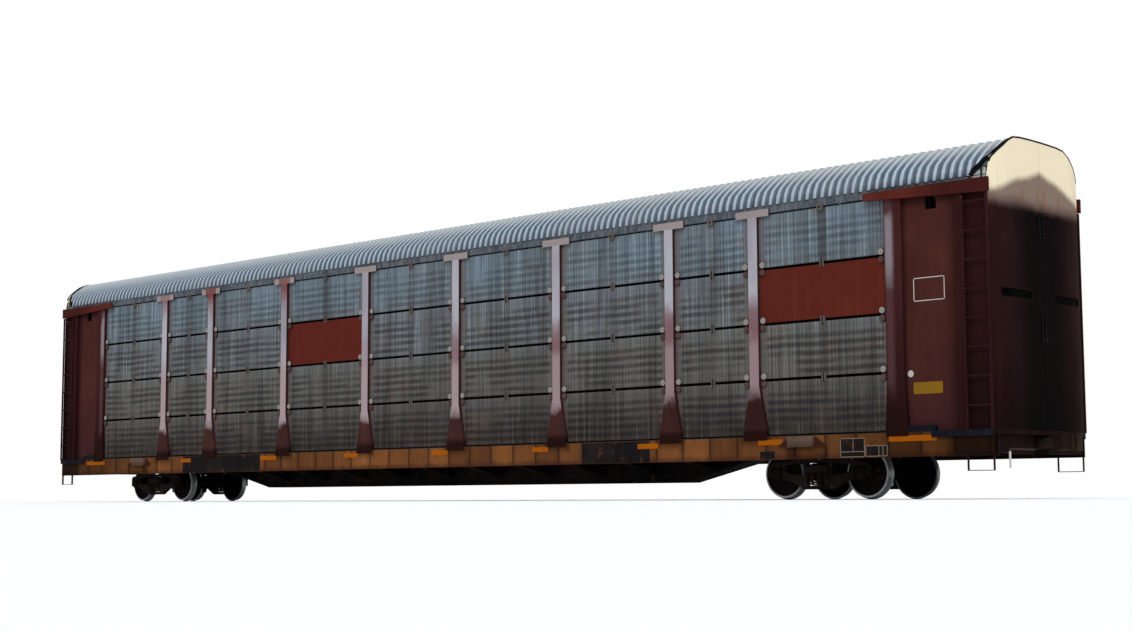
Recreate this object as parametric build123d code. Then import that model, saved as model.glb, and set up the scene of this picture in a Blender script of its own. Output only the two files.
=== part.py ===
"""Enclosed two-level autorack car: a flat car that carries a screened rack for road vehicles.

Millimetres. X runs along the car, Y across it and Z up. The origin lies under the car's centre, level with the
tips of the wheel flanges, so the rail top is one flange depth above it.
"""

from build123d import *
import os
from math import asin, cos, degrees, hypot, radians, sin

# Running gear
FLANGE_DEPTH = 25
TREAD_RADIUS = 419
WHEEL_BACK = 680
RIM_WIDTH = 140
TRUCK_CENTRE = 10058
WHEELBASE = 1727
JOURNAL_CENTRE = 990
AXLE_RADIUS = 88
BEARING_RADIUS = 115
BEARING_LENGTH = 170

# Heights above the rail top
DECK_HEIGHT = 1067
SILL_DEPTH = 395
BELLY_HEIGHT = 300
SADDLE_HEIGHT = 700
BOWL_HEIGHT = 655
COUPLER_HEIGHT = 876
UPPER_DECK_HEIGHT = 3410
EAVE_HEIGHT = 5100
ROOF_RISE = 690

# Length from the middle of the car, and what reaches past the end sill or is set back from it
END_SILL = 13716
DOOR_REACH = 119
ROOF_REACH = 64
COUPLER_REACH = 584
END_POST_SETBACK = 1761
LADDER_POST_SETBACK = 531
UPPER_DECK_SETBACK = 116
EAVE_SETBACK = 400

# Widths from the centre line
POST_FACE = 1500
PLATE = 12
SCREEN_FACE = 1430
SCREEN_THICK = 40
TONGUE_BACK = 1360

# Rows of screens between the deck and the eave rail
ROW_COUNT = 4
ROW_GAP = 50
EAVE_RAIL_DEPTH = 133

# Places of the rack's side posts from the middle of the car, and the widths of all posts
POSTS = (1433, 4293, 7151, 9076)
POST_WIDTH = 200
TONGUE_WIDTH = 80
END_POST_WIDTH = 330
END_TONGUE_WIDTH = 170
LADDER_POST_WIDTH = 148

# Play between pieces that move, and the small gap of a piece that rests on another body
RUNNING_GAP = 0.6
SEAT_GAP = 0.5
CLEARANCE = 5

# Values worked out from the sizes above
RAIL = FLANGE_DEPTH
DECK = RAIL + DECK_HEIGHT
SILL_TOP = DECK - PLATE
SILL_BOTTOM = SILL_TOP - SILL_DEPTH
SILL_FACE = POST_FACE - PLATE
EAVE = RAIL + EAVE_HEIGHT
ROOF_TOP = EAVE + ROOF_RISE
SCREEN_TOP = EAVE - EAVE_RAIL_DEPTH
ROW_PITCH = (SCREEN_TOP - DECK) / ROW_COUNT
DOOR_FACE = END_SILL + DOOR_REACH
ROOF_END = END_SILL + ROOF_REACH
COUPLER_FACE = END_SILL + COUPLER_REACH
END_POST = END_SILL - END_POST_SETBACK
LADDER_POST = END_SILL - LADDER_POST_SETBACK
SADDLE = RAIL + SADDLE_HEIGHT
BELLY = RAIL + BELLY_HEIGHT
BOWL_TOP = RAIL + BOWL_HEIGHT
COUPLER_LINE = RAIL + COUPLER_HEIGHT
AXLE_LINE = RAIL + TREAD_RADIUS


def block(x, y, z):
    """A box between two places on each axis."""
    low, high = zip(x, y, z)
    size = [b - a for a, b in zip(low, high)]
    return Pos(*[(a + b) / 2 for a, b in zip(low, high)]) * Box(*size)


def outline_face(points):
    """A flat face inside straight lines from point to point."""
    return make_face(Polyline(*points, close=True))


def across(points, y_low, y_high):
    """A prism of an X-Z outline between two places across the car."""
    return Plane.XZ.offset(-y_high) * extrude(outline_face(points), y_high - y_low, dir=(0, 0, 1))


def along(points, x_low, x_high):
    """A prism of a Y-Z outline between two places along the car."""
    return Plane.YZ.offset(x_low) * extrude(outline_face(points), x_high - x_low, dir=(0, 0, 1))


def upright(points, z_low, z_high):
    """A prism of an X-Y outline between two heights."""
    return Pos(0, 0, z_low) * extrude(outline_face(points), z_high - z_low, dir=(0, 0, 1))


def both_sides(piece):
    return [piece, piece.mirror(Plane.XZ)]


def both_ends(piece):
    return [piece, piece.mirror(Plane.YZ)]


def four_corners(piece):
    return [copy for side in both_sides(piece) for copy in both_ends(side)]


def two_fold(piece):
    """The piece and its copy turned half round, for what the car has at opposite corners."""
    return [piece, piece.rotate(Axis.Z, 180)]


def save(node, pieces):
    """Write one node, a list of pieces, to its own file."""
    solids = [solid for piece in pieces for solid in piece.solids()]
    export_step(Compound(solids), f"parts/{node}.step")


# Underframe

SILL_FLANGE = 110
SILL_FLANGE_THICK = 16
SILL_WEB_BACK = SILL_FACE - PLATE
SILL_FLANGE_EDGE = SILL_FACE - SILL_FLANGE
CENTRE_SILL_HALF = 180
CENTRE_FLANGE_HALF = 260
CENTRE_FLANGE_THICK = 25
BELLY_FULL = 6400
BELLY_END = 8100
DRAFT_LENGTH = 1316
DRAFT_START = END_SILL - DRAFT_LENGTH
DRAFT_HALF = 265
DRAFT_WALL = 20
CROSSBEARERS = (0, 1430, 2860, 4290, 5720, 7150, 8400, DRAFT_START - 536)
CROSSBEARER_ROOT = 450
CROSSBEARER_TIP = 720
CROSSBEARER_FLANGE = 150
BOLSTER_HALF = 170
CENTRE_PLATE_RADIUS = 178
SIDE_BEARING = 635
SIDE_BEARING_HALF = 60
SIDE_BEARING_BOTTOM = BOWL_TOP - 10


def belly_bottom(x):
    """Height of the fishbelly sill's underside at a distance from the middle."""
    share = (abs(x) - BELLY_FULL) / (BELLY_END - BELLY_FULL)
    return BELLY + (SADDLE - BELLY) * min(max(share, 0), 1)


def centre_sill():
    """Fishbelly box sill, with a wider bottom flange that follows its underside."""
    stations = (-DRAFT_START, -BELLY_END, -BELLY_FULL, BELLY_FULL, BELLY_END, DRAFT_START)
    under = [(x, belly_bottom(x)) for x in stations]
    top = [(DRAFT_START, SILL_TOP), (-DRAFT_START, SILL_TOP)]
    web = across(under + top, -CENTRE_SILL_HALF, CENTRE_SILL_HALF)
    over = [(x, z + CENTRE_FLANGE_THICK) for x, z in reversed(under)]
    flange = across(under + over, -CENTRE_FLANGE_HALF, CENTRE_FLANGE_HALF)
    return [web + flange]


def side_sills():
    """Two channels with their backs outward, under the edges of the deck."""
    channel = [
        (SILL_FACE, SILL_BOTTOM),
        (SILL_FACE, SILL_TOP),
        (SILL_FLANGE_EDGE, SILL_TOP),
        (SILL_FLANGE_EDGE, SILL_TOP - SILL_FLANGE_THICK),
        (SILL_WEB_BACK, SILL_TOP - SILL_FLANGE_THICK),
        (SILL_WEB_BACK, SILL_BOTTOM + SILL_FLANGE_THICK),
        (SILL_FLANGE_EDGE, SILL_BOTTOM + SILL_FLANGE_THICK),
        (SILL_FLANGE_EDGE, SILL_BOTTOM),
    ]
    return both_sides(along(channel, -END_SILL, END_SILL))


def crossbearer(x):
    """A tapered beam from the centre sill out to the side sill, with a bottom flange."""
    half = CROSSBEARER_FLANGE / 2
    highest = max(belly_bottom(x - half), belly_bottom(x + half)) + CENTRE_FLANGE_THICK
    root = max(RAIL + CROSSBEARER_ROOT, highest)
    tip = max(RAIL + CROSSBEARER_TIP, root)
    under = [(CENTRE_SILL_HALF, root), (SILL_FLANGE_EDGE, tip)]
    web = under + [(SILL_FLANGE_EDGE, SILL_TOP), (CENTRE_SILL_HALF, SILL_TOP)]
    flange = under + [(y, z + PLATE) for y, z in reversed(under)]
    return along(web, x - PLATE / 2, x + PLATE / 2) + along(flange, x - half, x + half)


def crossbearers():
    pieces = []
    for x in CROSSBEARERS:
        beams = both_sides(crossbearer(x))
        pieces += beams if x == 0 else [copy for beam in beams for copy in both_ends(beam)]
    return pieces


def body_bolsters():
    """A beam across under the centre sill, with arms up to the side sills, centre plate and side bearings."""
    tie_bottom = SADDLE - CENTRE_FLANGE_THICK
    knee = SIDE_BEARING + SIDE_BEARING_HALF
    half = [
        (0, tie_bottom),
        (knee, tie_bottom),
        (SILL_FLANGE_EDGE, RAIL + CROSSBEARER_TIP),
        (SILL_FLANGE_EDGE, SILL_TOP),
        (CENTRE_SILL_HALF, SILL_TOP),
        (CENTRE_SILL_HALF, SADDLE + CENTRE_FLANGE_THICK),
        (CENTRE_FLANGE_HALF, SADDLE + CENTRE_FLANGE_THICK),
        (CENTRE_FLANGE_HALF, SADDLE),
        (0, SADDLE),
    ]
    arm_x = (TRUCK_CENTRE - BOLSTER_HALF, TRUCK_CENTRE + BOLSTER_HALF)
    arm = along(half, *arm_x)
    plate_height = tie_bottom - BOWL_TOP - SEAT_GAP
    plate_middle = BOWL_TOP + SEAT_GAP + plate_height / 2
    plate = Pos(TRUCK_CENTRE, 0, plate_middle) * Cylinder(CENTRE_PLATE_RADIUS, plate_height)
    bearing_x = (TRUCK_CENTRE - SIDE_BEARING_HALF, TRUCK_CENTRE + SIDE_BEARING_HALF)
    bearing_y = (SIDE_BEARING - SIDE_BEARING_HALF, knee)
    bearing = block(bearing_x, bearing_y, (SIDE_BEARING_BOTTOM, tie_bottom))
    side = arm + bearing
    return both_ends(side + side.mirror(Plane.XZ) + plate)


def end_sills():
    """Channels across each end, from the draft housing to the side sill, with their backs outward."""
    depth = 90
    bottom = SADDLE
    channel = [
        (END_SILL, bottom),
        (END_SILL, SILL_TOP),
        (END_SILL - depth, SILL_TOP),
        (END_SILL - depth, SILL_TOP - PLATE),
        (END_SILL - PLATE, SILL_TOP - PLATE),
        (END_SILL - PLATE, bottom + PLATE),
        (END_SILL - depth, bottom + PLATE),
        (END_SILL - depth, bottom),
    ]
    return four_corners(across(channel, DRAFT_HALF, SILL_FLANGE_EDGE))


# Draft gear and couplers

SHANK_LENGTH = 1524
PIVOT = COUPLER_FACE - SHANK_LENGTH
PIVOT_RADIUS = 60
SHANK_HALF_WIDTH = 65
SHANK_HALF_HEIGHT = 80
DRAFT_ROOF = RAIL + 1010
CARRIER_DEPTH = 25
EYE_RADIUS = 110


def draft_housings():
    """Wide pocket that lets the long coupler shank swing, with its pivot pin and carrier iron."""
    shell = block((DRAFT_START, END_SILL), (-DRAFT_HALF, DRAFT_HALF), (SADDLE, SILL_TOP))
    inside = DRAFT_HALF - DRAFT_WALL
    pocket_x = (DRAFT_START + DRAFT_WALL, END_SILL + DRAFT_WALL)
    pocket = block(pocket_x, (-inside, inside), (SADDLE - 1, DRAFT_ROOF))
    strap = block((PIVOT - EYE_RADIUS, PIVOT + EYE_RADIUS), (-inside, inside), (SADDLE, SADDLE + DRAFT_WALL))
    pin_height = DRAFT_ROOF - SADDLE - DRAFT_WALL
    pin = Pos(PIVOT, 0, SADDLE + DRAFT_WALL + pin_height / 2) * Cylinder(PIVOT_RADIUS, pin_height)
    carrier_top = COUPLER_LINE - SHANK_HALF_HEIGHT - SEAT_GAP
    carrier = block((END_SILL - 110, END_SILL), (-inside, inside), (carrier_top - CARRIER_DEPTH, carrier_top))
    return both_ends(shell - pocket + strap + pin + carrier)


HEAD_BACK = COUPLER_FACE - 330
HEAD_HALF_HEIGHT = 125
KNUCKLE_HALF_HEIGHT = 140

# Plan outlines from the pulling face: x forward, y to the knuckle's side
HEAD_OUTLINE = [
    (-330, -65),
    (-250, -115),
    (-130, -165),
    (-10, -185),
    (75, -215),
    (92, -190),
    (20, -120),
    (-70, -100),
    (-112, -50),
    (-118, 70),
    (-100, 98),
    (-100, 170),
    (-250, 130),
    (-330, 65),
]
KNUCKLE_OUTLINE = [
    (-100, 98),
    (-40, 92),
    (-6, 60),
    (-4, 12),
    (30, 0),
    (66, 14),
    (82, 70),
    (60, 145),
    (-20, 186),
    (-100, 172),
]


def coupler_shank():
    """Long shank on its pivot eye, with the open head cast on its outer end."""
    bottom = COUPLER_LINE - SHANK_HALF_HEIGHT
    height = 2 * SHANK_HALF_HEIGHT
    shank = block((PIVOT, HEAD_BACK + 5), (-SHANK_HALF_WIDTH, SHANK_HALF_WIDTH), (bottom, bottom + height))
    eye = Pos(PIVOT, 0, COUPLER_LINE) * Cylinder(EYE_RADIUS, height)
    hole = Pos(PIVOT, 0, COUPLER_LINE) * Cylinder(PIVOT_RADIUS + RUNNING_GAP, height + 2)
    head_points = [(COUPLER_FACE + x, y) for x, y in HEAD_OUTLINE]
    head = upright(head_points, COUPLER_LINE - HEAD_HALF_HEIGHT, COUPLER_LINE + HEAD_HALF_HEIGHT)
    return shank + eye + head - hole


def knuckle():
    """The locked knuckle, a hook that closes one side of the head."""
    points = [(COUPLER_FACE + x, y) for x, y in KNUCKLE_OUTLINE]
    return upright(points, COUPLER_LINE - KNUCKLE_HALF_HEIGHT, COUPLER_LINE + KNUCKLE_HALF_HEIGHT)


# Lower deck, jacking brackets and steps

PAD_HALF = 260
PAD_DEPTH = 185
PAD_REACH = 72
PAD_WING_HALF = 470
PAD_LIP_REACH = 50
PAD_LIP = (15, 35)
STEP_X = (END_SILL - 486, END_SILL - 16)
STEP_BAR = 45
STEP_HEIGHT = 420


def jacking_pads():
    """Box brackets on the side sills at the bolsters, flat underneath for a jack's head, with lipped wings."""
    top = SILL_TOP - 5
    bottom = top - PAD_DEPTH
    lip_low, lip_high = bottom + PAD_LIP[0], bottom + PAD_LIP[1]
    box = block((-PAD_HALF, PAD_HALF), (SILL_FACE, SILL_FACE + PAD_REACH), (bottom, top))
    half = [(PAD_WING_HALF, lip_low), (PAD_WING_HALF, lip_high), (PAD_HALF, top)]
    wings = across(half + [(-x, z) for x, z in reversed(half)], SILL_FACE, SILL_FACE + PLATE)
    lip = block((-PAD_WING_HALF, PAD_WING_HALF), (SILL_FACE, SILL_FACE + PAD_LIP_REACH), (lip_low, lip_high))
    return four_corners(Pos(TRUCK_CENTRE, 0, 0) * (box + wings + lip))


def sill_steps():
    """Stirrups of flat bar under the ladders."""
    left, right = STEP_X
    low = RAIL + STEP_HEIGHT
    bent = [(left, SILL_BOTTOM), (left, low), (right, low), (right, SILL_BOTTOM)]
    inner_left, inner_right, inner_low = left + PLATE, right - PLATE, low + PLATE
    inner = [
        (inner_right, SILL_BOTTOM),
        (inner_right, inner_low),
        (inner_left, inner_low),
        (inner_left, SILL_BOTTOM),
    ]
    return four_corners(across(bent + inner, SILL_FACE - STEP_BAR, SILL_FACE))


# Rack posts

BASE_LAP = 70
BASE_BAND_HEIGHT = 115
BASE_HEIGHT = 865
BASE_BOTTOM = DECK - BASE_LAP
BASE_BAND = DECK + BASE_BAND_HEIGHT
BASE_TOP = DECK + BASE_HEIGHT
BASE_HALF = 250
CAP_HALF = 360
END_BASE_FLARE = 45
CAP_BOTTOM = SCREEN_TOP - 55
CAP_TOP = SCREEN_TOP + 75
RAIL_BACK = 1400
RAIL_FACE = 1470


def post(x, width, tongue, base_half, bottom=BASE_BOTTOM, cap_half=0):
    """A post that stands out from the screens, with a tongue back between them, a flared base and a flat cap."""
    half = width / 2
    flare = [(base_half, DECK), (base_half, BASE_BAND), (half, BASE_TOP), (half, SCREEN_TOP)]
    front = [(x + dx, z) for dx, z in flare] + [(x - dx, z) for dx, z in reversed(flare)]
    piece = across(front, SCREEN_FACE, POST_FACE)
    piece += block((x - tongue / 2, x + tongue / 2), (TONGUE_BACK, SCREEN_FACE), (DECK, SCREEN_TOP))
    if bottom < DECK:
        piece += block((x - base_half, x + base_half), (SILL_FACE, POST_FACE), (bottom, DECK))
    if cap_half:
        piece += block((x - cap_half, x + cap_half), (RAIL_FACE, POST_FACE), (CAP_BOTTOM, CAP_TOP))
    return piece


def side_posts():
    posts = [post(x, POST_WIDTH, TONGUE_WIDTH, BASE_HALF, cap_half=CAP_HALF) for x in POSTS]
    return [copy for piece in posts for copy in four_corners(piece)]


def end_posts():
    """The wide post where the screens end, and a narrow one at the ladder that stands on the lower track."""
    wide = post(END_POST, END_POST_WIDTH, END_TONGUE_WIDTH, END_POST_WIDTH / 2 + END_BASE_FLARE)
    narrow = post(LADDER_POST, LADDER_POST_WIDTH, TONGUE_WIDTH, LADDER_POST_WIDTH / 2, bottom=LOWER_TRACK_TOP)
    return four_corners(wide) + four_corners(narrow)


# Screens, signs and end panels

SCREEN_Y = (SCREEN_FACE - SCREEN_THICK, SCREEN_FACE)
NOTCH_X = (END_POST + 585, END_POST + 795)
NOTCH_DEPTH = 300


def bays():
    """The two ends of each screen, bay by bay along one side."""
    edges = []
    places = [-x for x in reversed(POSTS)] + list(POSTS)
    half = TONGUE_WIDTH / 2
    end_edge = END_POST - END_TONGUE_WIDTH / 2
    starts = [-end_edge] + [x + half for x in places]
    ends = [x - half for x in places] + [end_edge]
    for start, end in zip(starts, ends):
        edges.append((start, end))
    return edges


def screen(bay, row):
    """One panel, as deep as its folds, in its bay and row."""
    z = (DECK + row * ROW_PITCH + ROW_GAP / 2, DECK + (row + 1) * ROW_PITCH - ROW_GAP / 2)
    return block(bay, SCREEN_Y, z)


# Painted signs on the near side: a place in the bay, and a height above the deck
SIGN_SPOTS = ((-2860, 2440), (10490, 2440))


def sign_cells():
    """The bay and the row in which each sign of the near side lies."""
    cells = []
    for x, height in SIGN_SPOTS:
        for number, (start, end) in enumerate(bays()):
            if start < x < end:
                cells.append((number, int(height // ROW_PITCH)))
    return cells


def side_screens(side):
    """All perforated panels of one side; side is -1 or 1."""
    pieces = []
    for number, bay in enumerate(bays()):
        for row in range(ROW_COUNT):
            if (number, row) in sign_cells():
                continue
            piece = screen(bay, row)
            pieces.append(piece.mirror(Plane.XZ) if side < 0 else piece.mirror(Plane.YZ))
    return pieces


def sign_panels():
    """Plain painted sheets in place of four of the screens."""
    pieces = [screen(bays()[number], row).mirror(Plane.XZ) for number, row in sign_cells()]
    return [copy for piece in pieces for copy in two_fold(piece)]


def end_panels():
    """Solid sheets between the end post and the ladder post, notched at the top, and on to the end sill."""
    left = END_POST + END_TONGUE_WIDTH / 2
    right = LADDER_POST - TONGUE_WIDTH / 2
    low = SCREEN_TOP - NOTCH_DEPTH
    sheet = [
        (left, DECK),
        (right, DECK),
        (right, SCREEN_TOP),
        (NOTCH_X[1], SCREEN_TOP),
        (NOTCH_X[1], low),
        (NOTCH_X[0], low),
        (NOTCH_X[0], SCREEN_TOP),
        (left, SCREEN_TOP),
    ]
    corner = block((LADDER_POST + TONGUE_WIDTH / 2, END_SILL), SCREEN_Y, (DECK, SCREEN_TOP))
    return four_corners(across(sheet, *SCREEN_Y)) + four_corners(corner)


def eave_rails():
    end = ROOF_END - EAVE_SETBACK
    return both_sides(block((-end, end), (RAIL_BACK, RAIL_FACE), (SCREEN_TOP, EAVE)))


# Corrugated roof

ROOF_EDGE = 1495
RIB_PITCH = 156
RIB_DEPTH = 28
ROOF_SHEET = 20
SHEET_GAP = 1
ARCH_START = ROOF_END - 480

# Half of the roof's outer line, from the eave up: y, and the share of the roof's rise
ROOF_LINE = [(ROOF_EDGE, 0), (1400, 0.42), (830, 1)]

# Plan of the piece cut from each roof corner: x back from the roof's end, y
CORNER_CUT = [(-400, 1505), (-200, 1450), (-80, 1340), (1, 1030), (200, 1030), (200, 1700), (-400, 1700)]


def arch(depth):
    """The roof's line, offset inward by a depth with mitred corners, from one eave to the other."""
    half = [(y, EAVE + share * ROOF_RISE) for y, share in ROOF_LINE]
    full = half + [(-y, z) for y, z in reversed(half)]
    normals = []
    for (y0, z0), (y1, z1) in zip(full, full[1:]):
        length = hypot(y1 - y0, z1 - z0)
        normals.append(((z1 - z0) / length, (y0 - y1) / length))
    points = []
    for index, (y, z) in enumerate(full):
        if index in (0, len(full) - 1):
            points.append((y - depth / normals[min(index, len(normals) - 1)][0], z))
            continue
        (a, b), (c, d) = normals[index - 1], normals[index]
        scale = depth / (1 + a * c + b * d)
        points.append((y - (a + c) * scale, z - (b + d) * scale))
    return points


def arch_band(outer, inner):
    """Closed outline between two offsets of the roof line."""
    return arch(outer) + arch(inner)[::-1]


def corner_cuts():
    points = [(ROOF_END + x, y) for x, y in CORNER_CUT]
    return both_sides(upright(points, EAVE - 1, ROOF_TOP + 1))


def flat(points):
    """A flat face through points in space."""
    return Face(Wire.make_polygon(points, close=True))


def roof_sheet(start, end):
    """One corrugated sheet of flat facets: ribs across the car, smooth underneath."""
    count = max(1, round((end - start) / RIB_PITCH))
    pitch = (end - start) / count
    places = [start + step * pitch / 2 for step in range(2 * count + 1)]
    valley, crest, inner = arch(RIB_DEPTH), arch(0), arch(RIB_DEPTH + ROOF_SHEET)
    outers = [crest if step % 2 else valley for step in range(len(places))]
    faces = []
    for x0, x1, line0, line1 in zip(places, places[1:], outers, outers[1:]):
        for (a, b), (c, d) in zip(zip(line0, line0[1:]), zip(line1, line1[1:])):
            faces.append(flat([(x0, *a), (x1, *c), (x1, *d), (x0, *b)]))
    for a, b in zip(inner, inner[1:]):
        faces.append(flat([(start, *a), (start, *b), (end, *b), (end, *a)]))
    for eave in (0, -1):
        edge = [(x, *line[eave]) for x, line in zip(places, outers)]
        faces.append(flat(edge + [(end, *inner[eave]), (start, *inner[eave])]))
    for x in (start, end):
        faces.append(flat([(x, *point) for point in valley + inner[::-1]]))
    return Solid(Shell(faces))


def roof_sheets():
    """Sheets meet over the posts; the corners of the end ones are cut back to clear the doors."""
    seams = [-ROOF_END] + [-x for x in reversed(POSTS)] + list(POSTS) + [ROOF_END]
    pieces = []
    for start, end in zip(seams, seams[1:]):
        low = start if start == -ROOF_END else start + SHEET_GAP
        high = end if end == ROOF_END else end - SHEET_GAP
        sheet = roof_sheet(low, high)
        if end == ROOF_END:
            for cut in corner_cuts():
                sheet -= cut
        if start == -ROOF_END:
            for cut in corner_cuts():
                sheet -= cut.mirror(Plane.YZ)
        pieces.append(sheet)
    return pieces


def roof_end_arches():
    """Smooth arched sheets under the roof's ends, seen at the cut corners."""
    inner = RIB_DEPTH + ROOF_SHEET
    band = along(arch_band(inner, inner + ROOF_SHEET), ARCH_START, ROOF_END)
    for clear in both_sides(door_room()):
        band -= clear
    return both_ends(band)


# End doors and their tracks

DOOR_THICK = 50
DOOR_FLAT = 950
DOOR_RADIUS = 1300
DOOR_HALF_GAP = 4
SLOT_Y = (350, 1280)
SLOT_CENTRE = DECK + 2170
SLOT_HALF = 70
SLOT_DEPTH = 20
THRESHOLD_DEPTH = 70
UPPER_TRACK_LENGTH = 2330
UPPER_TRACK_TOP = EAVE - 55
UPPER_TRACK_DEPTHS = (125, 235)
UPPER_TRACK_REACH = 60
UPPER_TRACK_SETBACK = 20
LOWER_TRACK_LENGTH = 1100
LOWER_TRACK_TOP = DECK
LOWER_TRACK_DEPTH = 100
LOWER_TRACK_REACH = 47
TRACK_OVERLAP = 60
INNER_TRACK_DEPTH = 90
DOOR_TURN = degrees(asin((POST_FACE - DOOR_FLAT) / DOOR_RADIUS))


def door_edge(inset):
    """The door's plan line from the seam to the corner: flat, then an arc."""
    centre = (DOOR_FACE - DOOR_RADIUS, DOOR_FLAT)
    flat = Line((DOOR_FACE - inset, DOOR_HALF_GAP), (DOOR_FACE - inset, DOOR_FLAT))
    return flat, CenterArc(centre, DOOR_RADIUS - inset, 0, DOOR_TURN)


def door_room():
    """The space that half of the doors and a small clearance take up, and all beyond it."""
    flat, arc = door_edge(DOOR_THICK + CLEARANCE)
    corner = arc @ 1
    beyond = (COUPLER_FACE, COUPLER_FACE)
    plan = [Line((beyond[0], -1), (DOOR_FACE - DOOR_THICK - CLEARANCE, -1)),
            Line((DOOR_FACE - DOOR_THICK - CLEARANCE, -1), flat @ 0), flat, arc,
            Line(corner, (corner.X, POST_FACE)), Line((corner.X, POST_FACE), (beyond[0], POST_FACE)),
            Line((beyond[0], POST_FACE), (beyond[0], -1))]
    return Pos(0, 0, DECK) * extrude(make_face(plan), ROOF_TOP - DECK, dir=(0, 0, 1))


def end_wall(low):
    """Everything inside the car's end outline above a height, to trim the door tops to the roof's line."""
    walls = [(-POST_FACE, EAVE), (-POST_FACE, low), (POST_FACE, low), (POST_FACE, EAVE)]
    return along(arch(0) + walls, END_SILL, COUPLER_FACE)


def door_skin(depth):
    """Half of the doors' plan from the outer face to a depth, as tall as the car's end."""
    outer_flat, outer_arc = door_edge(0)
    inner_flat, inner_arc = door_edge(depth)
    corner_edge = Line(outer_arc @ 1, inner_arc @ 1)
    seam_edge = Line(inner_flat @ 0, outer_flat @ 0)
    edges = [outer_flat, outer_arc, corner_edge, inner_arc, inner_flat, seam_edge]
    return Pos(0, 0, DECK) * extrude(make_face(edges), ROOF_TOP - DECK, dir=(0, 0, 1))


def door_slot():
    """The recess for the hand that pulls a leaf: as deep all along the curve, with round ends."""
    middle, length = sum(SLOT_Y) / 2, SLOT_Y[1] - SLOT_Y[0]
    plane = Plane.YZ.offset(END_SILL - DOOR_THICK)
    outline = plane * Pos(middle, SLOT_CENTRE) * SlotOverall(length, 2 * SLOT_HALF)
    return door_skin(SLOT_DEPTH) & extrude(outline, DOOR_REACH + 2 * DOOR_THICK, dir=(1, 0, 0))


def end_door(side, end):
    """One leaf of the pair that closes an end, curved round its corner."""
    leaf = (door_skin(DOOR_THICK) & end_wall(DECK)) - door_slot()
    if side < 0:
        leaf = leaf.mirror(Plane.XZ)
    return leaf if end > 0 else leaf.mirror(Plane.YZ)


def door_thresholds():
    """A curved plate under each pair of doors, from the end sill out to the doors' faces."""
    flat, arc = door_edge(0)
    corner = arc @ 1
    half = make_face([Line((0, 0), (DOOR_FACE, 0)), Line((DOOR_FACE, 0), flat @ 0), flat, arc,
                      Line(corner, (0, corner.Y)), Line((0, corner.Y), (0, 0))])
    plate = Pos(0, 0, DECK - THRESHOLD_DEPTH) * extrude(half, THRESHOLD_DEPTH, dir=(0, 0, 1))
    plate &= block((END_SILL, DOOR_FACE + 1), (0, SILL_FACE), (DECK - THRESHOLD_DEPTH, DECK))
    return both_ends(plate + plate.mirror(Plane.XZ))


def lower_door_tracks():
    """A track along each side's foot behind the corner, stepped up and in as far as the end post."""
    outer_y = (SILL_FACE, SILL_FACE + LOWER_TRACK_REACH)
    start = END_SILL - LOWER_TRACK_LENGTH
    bar = block((start, END_SILL), outer_y, (LOWER_TRACK_TOP - LOWER_TRACK_DEPTH, LOWER_TRACK_TOP))
    inner_x = (END_POST + END_POST_WIDTH / 2 + END_BASE_FLARE, start + TRACK_OVERLAP)
    inner = block(inner_x, (SCREEN_FACE, POST_FACE), (LOWER_TRACK_TOP, LOWER_TRACK_TOP + INNER_TRACK_DEPTH))
    return four_corners(bar + inner)


def upper_door_tracks():
    """Deepening beams along the eave that carry the doors when they slide round the corner."""
    right, top = ROOF_END - UPPER_TRACK_SETBACK, UPPER_TRACK_TOP
    left = right - UPPER_TRACK_LENGTH
    inner_low, outer_low = (top - depth for depth in UPPER_TRACK_DEPTHS)
    beam = [(left, top), (left, inner_low), (right, outer_low), (right, top)]
    return four_corners(across(beam, POST_FACE, POST_FACE + UPPER_TRACK_REACH))


# Decks and ladders

UPPER_DECK_PLATE = 30
UPPER_DECK_EDGE = 120
UPPER_DECK_LIP = 60
LADDER_X = (END_SILL - 461, END_SILL + 19)
STILE = 40
LADDER_BOTTOM = LOWER_TRACK_TOP
LADDER_TOP = SCREEN_TOP - 167
RUNG_SPACING = 463
RUNG_FIRST = DECK + 381
RUNG_COUNT = int((LADDER_TOP - RUNG_FIRST) // RUNG_SPACING) + 1
RUNG_HALF = 12
LADDER_Y = (POST_FACE + 10, POST_FACE + 40)
FOOT_HALF = 20


def lower_deck():
    return [block((-END_SILL, END_SILL), (-SILL_FACE, SILL_FACE), (SILL_TOP, DECK))]


def upper_deck():
    """Pressed deck with edges turned down along both sides, held between the posts."""
    top = RAIL + UPPER_DECK_HEIGHT
    end = END_SILL - UPPER_DECK_SETBACK
    edge = TONGUE_BACK
    lip = edge - UPPER_DECK_LIP
    edge_low = top - UPPER_DECK_EDGE
    half = [(edge, top), (edge, edge_low), (lip, edge_low), (lip, top - UPPER_DECK_PLATE)]
    return [along(half + [(-y, z) for y, z in reversed(half)], -end, end)]


def ladders():
    """Two stiles and their rungs, standing off the corner panel on feet."""
    left, right = LADDER_X
    ladder = block(LADDER_X, LADDER_Y, (LADDER_BOTTOM, LADDER_TOP))
    gap_x = (left + STILE, right - STILE)
    low = LADDER_BOTTOM - 1
    for number in range(RUNG_COUNT + 1):
        rung = RUNG_FIRST + number * RUNG_SPACING
        high = rung - RUNG_HALF if number < RUNG_COUNT else LADDER_TOP + 1
        ladder -= block(gap_x, (LADDER_Y[0] - 1, LADDER_Y[1] + 1), (low, high))
        low = rung + RUNG_HALF
    for z in (LADDER_BOTTOM + FOOT_HALF, LADDER_TOP - FOOT_HALF):
        for x in (left, right - STILE):
            foot_x = (x + (STILE - PLATE) / 2, x + (STILE + PLATE) / 2)
            foot_x = (foot_x[0], min(foot_x[1], END_SILL))
            ladder += block(foot_x, (SCREEN_FACE, LADDER_Y[0]), (z - FOOT_HALF, z + FOOT_HALF))
    return four_corners(ladder)


# Brake gear under the deck

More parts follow.
